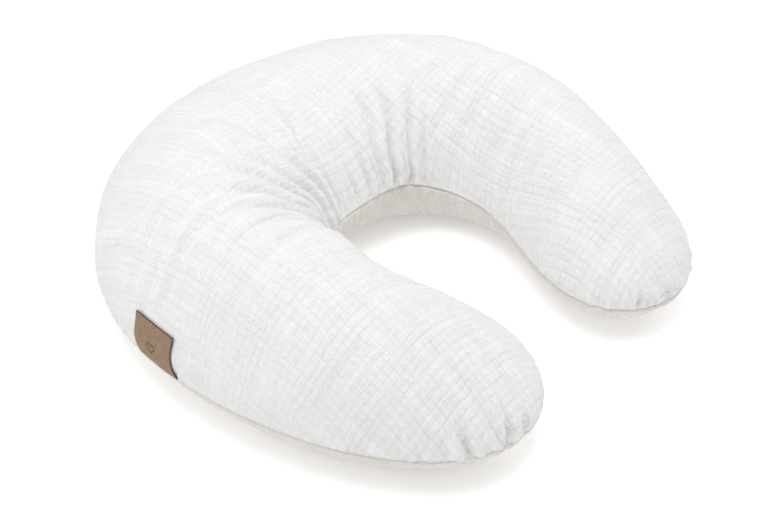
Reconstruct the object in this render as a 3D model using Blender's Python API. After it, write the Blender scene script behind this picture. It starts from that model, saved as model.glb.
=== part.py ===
"""Nursing pillow: a C-shaped cushion in a zipped muslin cover.

The cover is two sewn panels over a sewn liner that holds the fibre filling.  A zip runs along the
outer seam at the back, and a leatherette label is sewn into the seam at the left side.

Frame: metres, +Z up, the origin on the floor under the middle of the object's box.
The back of the C is towards +Y, its two arms point towards -Y, and the label is on the -X side.
"""
import math

import bmesh
import bpy
import numpy as np
from mathutils import Matrix, Vector

# ---------------------------------------------------------------- driving dimensions (metres)
# Centre line, seen from above: from the middle of the back to the tip of an arm.
HALF_LENGTH = 0.6034
MIDDLE_X = 0.0025                   # the C's own middle line, so that the box is centred
BACK_Y = 0.1660

# Heading of the centre line and size of the cross-section, at equal steps from back to tip.
STATIONS = (0.0, 0.25, 0.5, 0.75, 1.0)
HEADINGS_DEG = (0.0, 41.7, 86.5, 115.5, 109.8)
HALF_WIDTHS = (0.1407, 0.1279, 0.0991, 0.0970, 0.1279)
DOME_HEIGHTS = (0.1142, 0.1228, 0.1228, 0.0971, 0.0620)
LEFT_ARM_FULLER = 0.0090            # the -X arm is stuffed this much wider, the +X arm less
FULLER_AT = 0.75                    # where along the arm that is most, and how far it fades out
FULLER_REACH = 0.2
WIDEST_Z = 0.0634                   # height of the widest line of the section
FLOOR_SAG = 0.0093                  # how far the round underside is pressed flat by the floor
TOP_ROUNDNESS = 1.78                # superellipse powers of the dome and of the underside
BOTTOM_ROUNDNESS = 2.03
TIP_LENGTH = 0.1950                 # the arm rounds off over this length
TIP_UNDERSIDE_POWER = 1.05

# Seams between the top and the bottom panel.
OUTER_SEAM_Z = 0.0519
NOTCH_SEAM_Z = 0.0732               # the inner seam climbs to this height at the waist notch
NOTCH_SEAM_REACH = 0.75             # and is level with the outer one from here to the tip
SEAM_GAP = 0.0003
SEAM_ALLOWANCE = 0.0045             # turned-in edge of each cover panel
STITCH_RADIUS = 0.0005

# Cloth thicknesses and the room between the layers.
COVER_CLOTH = 0.0012
LINER_CLOTH = 0.0008
LINER_DEPTH = 0.0035
SEAM_DENT = 0.0060                  # the liner is pressed this much deeper behind the seams
SEAM_DENT_REACH = 0.020
FILLING_GAP = 0.0006

# Zip, on a circle about a vertical axis: the outer seam of the back is an arc of that circle.
ZIP_CENTRE_Y = 0.0052
ZIP_RADIUS = 0.3000
ZIP_START_DEG = 48.0                # direction from the circle's centre, from +X towards +Y
ZIP_END_DEG = 126.0
ZIP_SLIT_HALF = 0.0045
ZIP_SLIT_CLOSE_DEG = 2.2
ZIP_BLEND_DEG = 24.0                # the seam leaves the circle gently beyond the zip

# Mesh steps.
LENGTH_STEPS = 44
TOP_STEPS = 9
BOTTOM_STEPS = 7
ZIP_STEPS = 32
FINE_STEPS = 400                    # for lengths measured along a curve
TIP_RINGS_LEFT_OUT = 2
TIP_CROWDING = 0.45                 # how much closer together the sections are at the tips
TIP_SHARE = 0.004                   # the last section is this far from the tip itself
BACK_HALF = 0.45                    # the zip lies within this much of the middle of the back
KEPT_SPACING = 0.3                  # least spacing to the zip's own sections, in steps


# ---------------------------------------------------------------- materials and mesh helpers
def make_material(name, colour, roughness, metallic=0.0):
    """A Principled material in one colour."""
    material = bpy.data.materials.new(name)
    material.use_nodes = True
    shader = material.node_tree.nodes["Principled BSDF"]
    shader.inputs["Base Color"].default_value = (*colour, 1.0)
    shader.inputs["Roughness"].default_value = roughness
    shader.inputs["Metallic"].default_value = metallic
    return material


def make_object(name, points, faces, material, origin=(0.0, 0.0, 0.0), smooth_deg=40.0):
    """One closed body from points and faces, with its origin where asked."""
    mesh = bpy.data.meshes.new(name)
    base = Vector(origin)
    mesh.from_pydata([Vector(p) - base for p in points], [], faces)
    work = bmesh.new()
    work.from_mesh(mesh)
    bmesh.ops.recalc_face_normals(work, faces=work.faces)
    if work.calc_volume(signed=True) < 0.0:
        bmesh.ops.reverse_faces(work, faces=work.faces)
    work.to_mesh(mesh)
    work.free()
    mesh.materials.append(material)
    mesh.shade_smooth()
    mesh.set_sharp_from_angle(angle=math.radians(smooth_deg))
    part = bpy.data.objects.new(name, mesh)
    part.location = base
    bpy.context.scene.collection.objects.link(part)
    return part


def smoothstep(x):
    x = np.clip(x, 0.0, 1.0)
    return x * x * (3.0 - 2.0 * x)


def through_stations(values, x, turning=False):
    """A smooth cubic through equally spaced stations.

    The two halves of the C mirror each other at the first station: there the curve is level,
    or, for the centre line's heading, passes through zero.
    """
    places = np.array(STATIONS)
    values = np.array(values)
    step = places[1] - places[0]
    slopes = np.zeros(len(values))
    slopes[0] = values[1] / step if turning else 0.0
    slopes[1:-1] = (values[2:] - values[:-2]) / (2.0 * step)
    slopes[-1] = (values[-1] - values[-2]) / step
    left = np.clip(np.searchsorted(places, x, side="right") - 1, 0, len(values) - 2)
    t = (x - places[left]) / step
    rise = 3.0 * t ** 2 - 2.0 * t ** 3
    return (values[left] * (1.0 - rise) + values[left + 1] * rise
            + step * slopes[left] * (t ** 3 - 2.0 * t ** 2 + t)
            + step * slopes[left + 1] * (t ** 3 - t ** 2))


# ---------------------------------------------------------------- the pillow's shape
def centre_line(s):
    """Points and outward directions of the centre line; s runs from -1 (left tip) to 1."""
    run = np.linspace(0.0, 1.0, FINE_STEPS + 1)
    heading = -np.radians(through_stations(HEADINGS_DEG, run, turning=True))
    east, north = np.cos(heading), np.sin(heading)
    step = HALF_LENGTH / FINE_STEPS
    x_run = np.concatenate([[0.0], np.cumsum((east[1:] + east[:-1]) / 2.0 * step)])
    y_run = BACK_Y + np.concatenate([[0.0], np.cumsum((north[1:] + north[:-1]) / 2.0 * step)])
    side, along = np.sign(s), np.abs(s)
    turn = np.interp(along, run, heading)
    east_of_middle = side * np.interp(along, run, x_run)
    spot = np.stack([MIDDLE_X + east_of_middle, np.interp(along, run, y_run)], axis=-1)
    outward = np.stack([-np.sin(turn) * side, np.cos(turn)], axis=-1)
    return spot, outward


def seam_share(z, height):
    """How far out the section's wall is at a height, as a share of the half width."""
    low = np.clip((WIDEST_Z - z) / (WIDEST_Z + FLOOR_SAG), 0.0, 1.0)
    high = np.clip((z - WIDEST_Z) / height, 0.0, 1.0)
    low_share = (1.0 - low ** BOTTOM_ROUNDNESS) ** (1.0 / BOTTOM_ROUNDNESS)
    high_share = (1.0 - high ** TOP_ROUNDNESS) ** (1.0 / TOP_ROUNDNESS)
    return np.where(z < WIDEST_Z, low_share, high_share)


def seam_angle(z, height):
    """The section's parameter angle, above the widest line, at a height."""
    low = np.clip((WIDEST_Z - z) / (WIDEST_Z + FLOOR_SAG), 0.0, 1.0) ** (BOTTOM_ROUNDNESS / 2.0)
    high = np.clip((z - WIDEST_Z) / height, 0.0, 1.0) ** (TOP_ROUNDNESS / 2.0)
    return np.where(z < WIDEST_Z, -np.arcsin(low), np.arcsin(high))


class Section:
    """Everything that describes the cross-section at one place s along the centre line."""

    def __init__(self, s):
        along = abs(s)
        spot, outward = centre_line(np.array([s]))
        self.spot, self.outward = spot[0], outward[0]
        self.height = float(through_stations(DOME_HEIGHTS, np.array([along]))[0])
        width = float(through_stations(HALF_WIDTHS, np.array([along]))[0])
        fuller = LEFT_ARM_FULLER * math.exp(-((along - FULLER_AT) / FULLER_REACH) ** 2)
        self.inner_width = width - math.copysign(fuller, s)
        to_tip = (1.0 - along) * HALF_LENGTH
        self.close = math.sqrt(max(0.0, 1.0 - (1.0 - min(to_tip / TIP_LENGTH, 1.0)) ** 2))
        self.close_under = self.close ** TIP_UNDERSIDE_POWER
        ease = math.cos(min(along / NOTCH_SEAM_REACH, 1.0) * math.pi / 2.0)
        self.inner_seam_z = OUTER_SEAM_Z + (NOTCH_SEAM_Z - OUTER_SEAM_Z) * ease
        self.outer_width = self.inner_width
        self.outer_width += self.circle_share() * (self.width_to_circle() - self.inner_width)

    def bearing(self):
        """Direction from the zip circle's centre to the outer seam, in degrees from +X."""
        share = float(seam_share(OUTER_SEAM_Z, self.height))
        x, y = self.spot + self.outward * self.outer_width * self.close * share
        return math.degrees(math.atan2(y - ZIP_CENTRE_Y, x - MIDDLE_X))

    def circle_share(self):
        """1 where the outer seam lies on the zip's circle, 0 well away from it."""
        past = max(ZIP_START_DEG - self.bearing(), self.bearing() - ZIP_END_DEG) - ZIP_SLIT_CLOSE_DEG
        return float(1.0 - smoothstep(past / ZIP_BLEND_DEG))

    def width_to_circle(self):
        """Half width that puts the outer seam on the zip's circle."""
        offset = self.spot - np.array([MIDDLE_X, ZIP_CENTRE_Y])
        lean = float(offset @ self.outward)
        reach = -lean + math.sqrt(lean ** 2 + ZIP_RADIUS ** 2 - float(offset @ offset))
        return reach / float(seam_share(OUTER_SEAM_Z, self.height))

    def slit_half(self):
        """Half height of the opening in the outer seam: the zip's slit, or the bare seam gap."""
        past = max(ZIP_START_DEG - self.bearing(), self.bearing() - ZIP_END_DEG)
        opened = 1.0 - float(smoothstep(past / ZIP_SLIT_CLOSE_DEG))
        return SEAM_GAP / 2.0 + (ZIP_SLIT_HALF - SEAM_GAP / 2.0) * opened

    def point(self, angle):
        """A point of the section at a parameter angle, 0 outwards and 90 degrees up."""
        across, rise = np.cos(angle), np.sin(angle)
        upper = rise >= 0.0
        power = np.where(upper, 2.0 / TOP_ROUNDNESS, 2.0 / BOTTOM_ROUNDNESS)
        share = np.sign(across) * np.abs(across) ** power
        lift = np.abs(rise) ** power
        z = np.where(upper, WIDEST_Z + self.height * lift,
                     np.maximum(WIDEST_Z - (WIDEST_Z + FLOOR_SAG) * lift, 0.0))
        width = np.where(across >= 0.0, self.outer_width, self.inner_width)
        reach = share * width * self.close
        squeeze = np.where(z >= OUTER_SEAM_Z, self.close, self.close_under)
        z = OUTER_SEAM_Z + (z - OUTER_SEAM_Z) * squeeze
        plan = self.spot[None, :] + self.outward[None, :] * reach[:, None]
        return np.column_stack([plan, z])

    def arc(self, start, end, steps):
        """Points at equal distances along the section between two parameter angles."""
        fine = self.point(np.linspace(start, end, FINE_STEPS))
        run = np.concatenate([[0.0], np.cumsum(np.linalg.norm(np.diff(fine, axis=0), axis=1))])
        wanted = np.linspace(0.0, run[-1], steps + 1)
        return np.column_stack([np.interp(wanted, run, fine[:, axis]) for axis in range(3)])

    def ring(self, half_slit):
        """The section as a ring: over the top panel outwards in, then back under it."""
        seam_out, seam_in = OUTER_SEAM_Z, self.inner_seam_z
        gap = SEAM_GAP / 2.0
        scale = max(self.close, 1e-6)
        scale_under = max(self.close_under, 1e-6)
        top_out = float(seam_angle(seam_out + half_slit / scale, self.height))
        top_in = math.pi - float(seam_angle(seam_in + gap / scale, self.height))
        under_in = math.pi - float(seam_angle(seam_in - gap / scale_under, self.height))
        under_out = 2.0 * math.pi + float(seam_angle(seam_out - half_slit / scale_under, self.height))
        return np.vstack([self.arc(top_out, top_in, TOP_STEPS),
                          self.arc(under_in, under_out, BOTTOM_STEPS)])


def station_list():
    """Places of the sections: closer together at the tips and at the two ends of the zip."""
    even = np.linspace(-1.0, 1.0, LENGTH_STEPS + 1)
    places = TIP_CROWDING * np.sin(even * math.pi / 2.0) + (1.0 - TIP_CROWDING) * even
    places[0] += TIP_SHARE
    places[-1] -= TIP_SHARE
    fine = np.linspace(-BACK_HALF, BACK_HALF, FINE_STEPS)
    bearings = np.array([Section(s).bearing() for s in fine])
    wanted = [ZIP_START_DEG - share * ZIP_SLIT_CLOSE_DEG for share in (1.0, 0.5, 0.0)]
    wanted += [ZIP_END_DEG + share * ZIP_SLIT_CLOSE_DEG for share in (0.0, 0.5, 1.0)]
    zip_places = np.interp(-np.array(wanted), -bearings, fine)
    nearest = np.abs(places[:, None] - zip_places[None, :]).min(axis=1)
    step = places[LENGTH_STEPS // 2 + 1] - places[LENGTH_STEPS // 2]
    kept = places[nearest > KEPT_SPACING * step]
    return np.sort(np.concatenate([kept, zip_places]))


class Skin:
    """The pillow's outer surface as rings of points, with a pole at each arm's tip.

    The cover's skin opens at the zip.  The inner layers leave out the small rings next to the
    tips, which would fold over when they are pushed in.
    """

    def __init__(self, cover):
        stations = station_list()
        if not cover:
            stations = stations[TIP_RINGS_LEFT_OUT:-TIP_RINGS_LEFT_OUT]
        sections = [Section(s) for s in stations]
        halves = [sec.slit_half() if cover else SEAM_GAP / 2.0 for sec in sections]
        self.rings = np.array([sec.ring(half) for sec, half in zip(sections, halves)])
        poles = centre_line(np.array([-1.0, 1.0]))[0]
        self.poles = np.column_stack([poles, [OUTER_SEAM_Z] * 2])
        self.normals, self.pole_normals = self.vertex_normals()

    def vertex_normals(self):
        """Area-weighted normals of the closed surface, level along the two seams."""
        rings, count = self.rings, len(self.rings)
        total = np.zeros_like(rings)
        nxt = np.roll(rings, -1, axis=1)
        face_a = np.cross(rings[1:] - rings[:-1], nxt[:-1] - rings[:-1])
        face_b = np.cross(nxt[1:] - nxt[:-1], nxt[1:] - rings[1:])
        both = face_a + face_b
        total[:-1] += both
        total[1:] += both
        total[:-1] += np.roll(both, 1, axis=1)
        total[1:] += np.roll(both, 1, axis=1)
        pole_total = np.zeros((2, 3))
        for which, ring_at in ((0, 0), (1, count - 1)):
            spokes = rings[ring_at] - self.poles[which]
            fan = np.cross(spokes, np.roll(spokes, -1, axis=0)) * (-1.0 if which else 1.0)
            total[ring_at] += fan + np.roll(fan, 1, axis=0)
            pole_total[which] = fan.sum(axis=0)
        from_middle = rings - rings.mean(axis=1, keepdims=True)
        if (total * from_middle).sum() < 0.0:
            total, pole_total = -total, -pole_total
        for one, other in ((0, -1), (TOP_STEPS, TOP_STEPS + 1)):
            level = (total[:, one] + total[:, other]) * [1.0, 1.0, 0.0]
            total[:, one] = level
            total[:, other] = level
        total /= np.linalg.norm(total, axis=-1, keepdims=True)
        pole_total /= np.linalg.norm(pole_total, axis=-1, keepdims=True)
        return total, pole_total

    def panel(self, top, depth=0.0, dent=0.0):
        """Grid and pole points of one panel's surface, pushed in by a depth."""
        split = TOP_STEPS + 1
        part = slice(0, split) if top else slice(split, None)
        grid, normals = self.rings[:, part], self.normals[:, part]
        run = np.cumsum(np.linalg.norm(np.diff(grid, axis=1, prepend=grid[:, :1]), axis=2), axis=1)
        to_seam = np.minimum(run, run[:, -1:] - run)
        push = depth + dent * np.exp(-(to_seam / SEAM_DENT_REACH) ** 2)
        lift = SEAM_GAP / 2.0 if top else -SEAM_GAP / 2.0
        poles = self.poles - self.pole_normals * (depth + dent) + [0.0, 0.0, lift]
        return grid - normals * push[..., None], poles


def grid_faces(count, across, base, pole_a, pole_b):
    """Triangles of a grid of rings closed to a pole at each end, as vertex numbers."""
    faces = []
    for i in range(count - 1):
        for j in range(across - 1):
            a, b = base + i * across + j, base + i * across + j + 1
            c, d = a + across, b + across
            faces += [(a, b, c), (b, d, c)]
    last = base + (count - 1) * across
    for j in range(across - 1):
        faces.append((pole_a, base + j + 1, base + j))
        faces.append((pole_b, last + j, last + j + 1))
    return faces


def rim_loop(grid, poles):
    """The outline of a panel as one loop: along the outer seam, round the tip and back."""
    return np.vstack([grid[:, 0], poles[1:], grid[::-1, -1], poles[:1]])


def rim_numbers(count, across, base, pole_a, pole_b):
    """The same loop as vertex numbers."""
    outer = [base + i * across for i in range(count)]
    inner = [base + i * across + across - 1 for i in reversed(range(count))]
    return outer + [pole_b] + inner + [pole_a]


def flat_inward(loop):
    """Level unit directions into the panel, square to its outline."""
    following = np.roll(loop, -1, axis=0)
    ahead = following - np.roll(loop, 1, axis=0)
    area = (loop[:, 0] * following[:, 1] - loop[:, 1] * following[:, 0]).sum()
    inward = np.column_stack([-ahead[:, 1], ahead[:, 0], np.zeros(len(loop))]) * np.sign(area)
    return inward / np.linalg.norm(inward, axis=1, keepdims=True)


def panel_solid(name, outside, inside, material, allowance=0.0):
    """A cloth panel: outside skin, inside skin and the edge between them.

    With an allowance the edge is first turned in level by that much, as a sewn edge is.
    """
    (grid_out, poles_out), (grid_in, poles_in) = outside, inside
    count, across = grid_out.shape[:2]
    points = [grid_out.reshape(-1, 3), poles_out]
    skin_size = count * across
    loops = []
    base = skin_size + 2
    rim = rim_loop(grid_out, poles_out)
    size = len(rim)
    if allowance:
        inward = flat_inward(rim)
        crown = grid_out[count // 2, across // 2, 2]
        rise = math.copysign(COVER_CLOTH, crown - rim[0, 2])
        turned = rim + inward * allowance
        root = rim + inward * COVER_CLOTH
        points += [turned, turned + [0.0, 0.0, rise]]
        loops = [list(range(base, base + size)), list(range(base + size, base + 2 * size))]
        base += 2 * size
        grid_in, poles_in = grid_in.copy(), poles_in.copy()
        grid_in[:, 0] = root[:count] + [0.0, 0.0, rise]
        poles_in[1] = root[count] + [0.0, 0.0, rise]
        grid_in[:, -1] = root[count + 1:-1][::-1] + [0.0, 0.0, rise]
        poles_in[0] = root[-1] + [0.0, 0.0, rise]
    points += [grid_in.reshape(-1, 3), poles_in]
    outer_ring = rim_numbers(count, across, 0, skin_size, skin_size + 1)
    inner_ring = rim_numbers(count, across, base, base + skin_size, base + skin_size + 1)
    faces = grid_faces(count, across, 0, skin_size, skin_size + 1)
    faces += [tuple(reversed(f)) for f in
              grid_faces(count, across, base, base + skin_size, base + skin_size + 1)]
    chain = [outer_ring] + loops + [inner_ring]
    for one, two in zip(chain[:-1], chain[1:]):
        for k in range(size):
            n = (k + 1) % size
            faces += [(one[k], two[k], one[n]), (one[n], two[k], two[n])]
    return make_object(name, np.vstack(points), faces, material)


def make_cover(skin, cloth):
    """The two muslin panels, sewn edge to edge except at the zip."""
    for name, top in (("cover_top_panel", True), ("cover_bottom_panel", False)):
        panel_solid(name, skin.panel(top), skin.panel(top, COVER_CLOTH), cloth, SEAM_ALLOWANCE)


def make_liner(skin, cloth):
    """The two panels of the inner bag that holds the filling."""
    for name, top in (("liner_top_panel", True), ("liner_bottom_panel", False)):
        outside = skin.panel(top, LINER_DEPTH, SEAM_DENT)
        inside = skin.panel(top, LINER_DEPTH + LINER_CLOTH, SEAM_DENT)
        panel_solid(name, outside, inside, cloth)


def make_filling(skin, material):
    """The fibre filling: one closed body just inside the liner."""
    depth = LINER_DEPTH + LINER_CLOTH + FILLING_GAP
    (top, poles), (under, _) = skin.panel(True, depth, SEAM_DENT), skin.panel(False, depth, SEAM_DENT)
    poles[:, 2] = OUTER_SEAM_Z
    grid = np.concatenate([top, under[:, 1:-1]], axis=1)
    grid[:, 0, 2] -= SEAM_GAP / 2.0
    grid[:, top.shape[1] - 1, 2] -= SEAM_GAP / 2.0
    count, around = grid.shape[:2]
    points = np.vstack([grid.reshape(-1, 3), poles])
    faces = []
    for i in range(count - 1):
        for j in range(around):
            n = (j + 1) % around
            a, b = i * around + j, i * around + n
            c, d = a + around, b + around
            faces += [(a, b, c), (b, d, c)]
    last = (count - 1) * around
    for j in range(around):
        n = (j + 1) % around
        faces.append((count * around, n, j))
        faces.append((count * around + 1, last + j, last + n))
    make_object("fibre_filling", points, faces, material)


def make_thread(name, route, closed, radius, material, sides=6):
    """A sewing thread as a thin tube along a route of points."""
    route = np.array(route)
    count = len(route)
    if closed:
        ahead = np.roll(route, -1, axis=0) - np.roll(route, 1, axis=0)
    else:
        ahead = np.gradient(route, axis=0)
    ahead /= np.linalg.norm(ahead, axis=1, keepdims=True)
    side = np.cross(ahead, [0.0, 0.0, 1.0])
    side /= np.linalg.norm(side, axis=1, keepdims=True)
    up = np.cross(side, ahead)
    points, faces = [], []
    for centre, right, above in zip(route, side, up):
        for k in range(sides):
            turn = 2.0 * math.pi * k / sides
            points.append(centre + radius * (math.cos(turn) * right + math.sin(turn) * above))
    for i in range(count if closed else count - 1):
        here, there = i * sides, ((i + 1) % count) * sides
        for k in range(sides):
            n = (k + 1) % sides
            faces.append((here + k, here + n, there + n, there + k))
    if not closed:
        faces.append(tuple(reversed(range(sides))))
        faces.append(tuple(range((count - 1) * sides, count * sides)))
    return make_object(name, points, faces, material)


def make_seam_threads(skin, plain_skin, thread):
    """The stitching just inside the turned-in edges, and the liner's closing seam."""
    grid, poles = skin.panel(True)
    rim = rim_loop(grid, poles)
    inward = flat_inward(rim)
    count = len(grid)
    stitched = rim + inward * (SEAM_ALLOWANCE + STITCH_RADIUS + SEAM_GAP)
    stitched[:, 2] -= SEAM_GAP / 2.0
    bearing = np.degrees(np.arctan2(rim[:, 1] - ZIP_CENTRE_Y, rim[:, 0] - MIDDLE_X))
    in_zip = (bearing > ZIP_START_DEG - 2.0 * ZIP_SLIT_CLOSE_DEG)
    in_zip &= (bearing < ZIP_END_DEG + 2.0 * ZIP_SLIT_CLOSE_DEG)
    in_zip[count + 1:] = False
    zip_at = np.flatnonzero(in_zip[:count])
    first, last = zip_at[0], zip_at[-1]
    quarter = count // 4
    inner_from, inner_to = count + 1 + quarter, len(rim) - 1 - quarter
    left = np.vstack([stitched[inner_to:], stitched[:first]])
    right = stitched[last + 1:inner_from + 1]
    make_thread("outer_seam_stitching_left", left, False, STITCH_RADIUS, thread)
    make_thread("outer_seam_stitching_right", right, False, STITCH_RADIUS, thread)
    make_thread("notch_seam_stitching", stitched[inner_from + 1:inner_to], False, STITCH_RADIUS, thread)
    liner_grid, liner_poles = plain_skin.panel(True, LINER_DEPTH, SEAM_DENT)
    liner_rim = rim_loop(liner_grid, liner_poles)
    liner_rim = liner_rim - flat_inward(liner_rim) * (STITCH_RADIUS + SEAM_GAP)
    liner_rim[:, 2] -= SEAM_GAP / 2.0
    make_thread("liner_seam_stitching", liner_rim, True, STITCH_RADIUS, thread)


# ---------------------------------------------------------------- zip
TAPE_THICKNESS = 0.0007
TAPE_DEPTH = 0.0029                 # outer face of the tape, inside the seam's circle
TAPE_INNER_Z = 0.0011               # the tapes' facing edges, above and below the seam
TAPE_FOLD_Z = 0.0034                # where the tape folds in along the panel's turned edge
TAPE_LEG = 0.0032
COIL_DEPTH = 0.0019
COIL_HALF_HEIGHT = 0.0009
COIL_HALF_DEPTH = 0.0007
COIL_Z = 0.0016                     # middle of each coil, above and below the seam
COIL_SIDES = 8
ZIP_STOP_DEG = 1.2
SLIDER_LENGTH = 0.0110
SLIDER_REST_DEG = 50.4
PLATE_THICKNESS = 0.0012
PLATE_HALF_HEIGHT = 0.0036
PLATE_DEPTH = 0.0009
UNDER_THICKNESS = 0.0010
POST_HALF_HEIGHT = 0.00035
POST_LENGTH = 0.0030
POST_PLACE = 0.0010                 # the post stands this far from the slider's front end
BRIDGE_OPENING = 0.0019
BRIDGE_THICKNESS = 0.0010
BRIDGE_HALF_LENGTH = 0.0032
BRIDGE_HALF_WIDTH = 0.0011
TAB_LENGTH = 0.0240
TAB_HALF_WIDTH = 0.0034
TAB_HALF_THICKNESS = 0.0006
TAB_GRIP_LENGTH = 0.0051            # the slot near the tab's free end, and its distance from it
TAB_GRIP_END = 0.0034
TAB_GRIP_HALF_WIDTH = 0.0017
ZIP_CLEARANCE = 0.0004
ZIP_BEVEL = 0.0003


def arc_points(radius, z, start_deg, end_deg, steps):
    """Points on the zip's circle."""
    turns = np.radians(np.linspace(start_deg, end_deg, steps + 1))
    return np.column_stack([MIDDLE_X + radius * np.cos(turns),
                            ZIP_CENTRE_Y + radius * np.sin(turns), np.full(steps + 1, z)])


def arc_sweep(name, outline, start_deg, end_deg, steps, material):
    """Sweep an outline of (depth, height) points round the zip's circle."""
    rings = [arc_points(ZIP_RADIUS - depth, OUTER_SEAM_Z + height, start_deg, end_deg, steps)
             for depth, height in outline]
    corners = len(outline)
    points = np.stack(rings, axis=1).reshape(-1, 3)
    faces = []
    for i in range(steps):
        for k in range(corners):
            n = (k + 1) % corners
            a, b = i * corners + k, i * corners + n
            faces.append((a, b, b + corners, a + corners))
    faces.append(tuple(range(corners)))
    faces.append(tuple(reversed(range(steps * corners, (steps + 1) * corners))))
    return make_object(name, points, faces, material)


def make_zip_chain(tape, coil_material, stop_material):
    """Two tapes folded along the panels' edges, a tooth coil on each, and a stop at each end."""
    tape_out, tape_in = TAPE_DEPTH, TAPE_DEPTH + TAPE_THICKNESS
    fold_end = tape_in + TAPE_LEG
    fold_low = TAPE_FOLD_Z + TAPE_THICKNESS
    for side, name in ((1.0, "upper"), (-1.0, "lower")):
        outline = [(tape_out, TAPE_INNER_Z), (tape_out, fold_low), (fold_end, fold_low),
                   (fold_end, TAPE_FOLD_Z), (tape_in, TAPE_FOLD_Z), (tape_in, TAPE_INNER_Z)]
        outline = [(depth, side * height) for depth, height in outline]
        arc_sweep("zip_tape_" + name, outline, ZIP_START_DEG, ZIP_END_DEG, ZIP_STEPS, tape)
        turns = [2.0 * math.pi * k / COIL_SIDES for k in range(COIL_SIDES)]
        oval = [(COIL_DEPTH + COIL_HALF_DEPTH * math.cos(turn),
                 side * COIL_Z + COIL_HALF_HEIGHT * math.sin(turn)) for turn in turns]
        arc_sweep("zip_coil_" + name, oval, ZIP_START_DEG + ZIP_STOP_DEG,
                  ZIP_END_DEG - ZIP_STOP_DEG, ZIP_STEPS, coil_material)
    block = [(TAPE_DEPTH - SEAM_GAP, -COIL_Z - COIL_HALF_HEIGHT),
             (TAPE_DEPTH - SEAM_GAP, COIL_Z + COIL_HALF_HEIGHT),
             (PLATE_DEPTH, COIL_Z + COIL_HALF_HEIGHT), (PLATE_DEPTH, -COIL_Z - COIL_HALF_HEIGHT)]
    gap_deg = math.degrees(SEAM_GAP / ZIP_RADIUS)
    half_stop = (ZIP_STOP_DEG - gap_deg) / 2.0
    for name, middle in (("zip_end_stop_right", ZIP_START_DEG + half_stop),
                         ("zip_end_stop_left", ZIP_END_DEG - half_stop)):
        arc_sweep(name, block, middle - half_stop, middle + half_stop, 2, stop_material)


def slider_frame(bearing_deg):
    """Local axes at the seam: x along the zip, y up, z outwards."""
    turn = math.radians(bearing_deg)
    out = Vector((math.cos(turn), math.sin(turn), 0.0))
    along = Vector((-math.sin(turn), math.cos(turn), 0.0))
    up = Vector((0.0, 0.0, 1.0))
    place = Vector((MIDDLE_X, ZIP_CENTRE_Y, OUTER_SEAM_Z)) + out * ZIP_RADIUS
    frame = Matrix((along, up, out)).transposed().to_4x4()
    frame.translation = place
    return frame


def box_body(low, high, bevel=0.0):
    """A box as a bmesh, its edges rounded by a bevel."""
    body = bmesh.new()
    bmesh.ops.create_cube(body, size=1.0)
    for vert in body.verts:
        for axis in range(3):
            share = vert.co[axis] + 0.5
            vert.co[axis] = low[axis] + (high[axis] - low[axis]) * share
    if bevel:
        bmesh.ops.bevel(body, geom=body.edges[:], offset=bevel, segments=1, affect="EDGES")
    return body


def loose_object(body):
    """A temporary object made from a bmesh."""
    mesh = bpy.data.meshes.new("work")
    body.to_mesh(mesh)
    body.free()
    loose = bpy.data.objects.new("work", mesh)
    bpy.context.scene.collection.objects.link(loose)
    return loose


def combine(target, tool, operation):
    """Join or cut one object into another with an exact Boolean, and drop the tool."""
    modifier = target.modifiers.new("combine", "BOOLEAN")
    modifier.object = tool
    modifier.operation = operation
    modifier.solver = "EXACT"
    bpy.context.view_layer.update()
    evaluated = target.evaluated_get(bpy.context.evaluated_depsgraph_get())
    mesh = bpy.data.meshes.new_from_object(evaluated)
    target.modifiers.clear()
    target.data = mesh
    bpy.data.objects.remove(tool, do_unlink=True)


def finish_part(part, name, material, frame, origin):
    """Put a part built at the local origin in its place, with its origin on its axis."""
    part.name = name
    part.data.name = name
    part.data.transform(Matrix.Translation(-Vector(origin)) @ frame)
    part.location = Vector(origin)
    part.data.materials.clear()
    part.data.materials.append(material)
    part.data.shade_smooth()
    part.data.set_sharp_from_angle(angle=math.radians(30.0))


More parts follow.
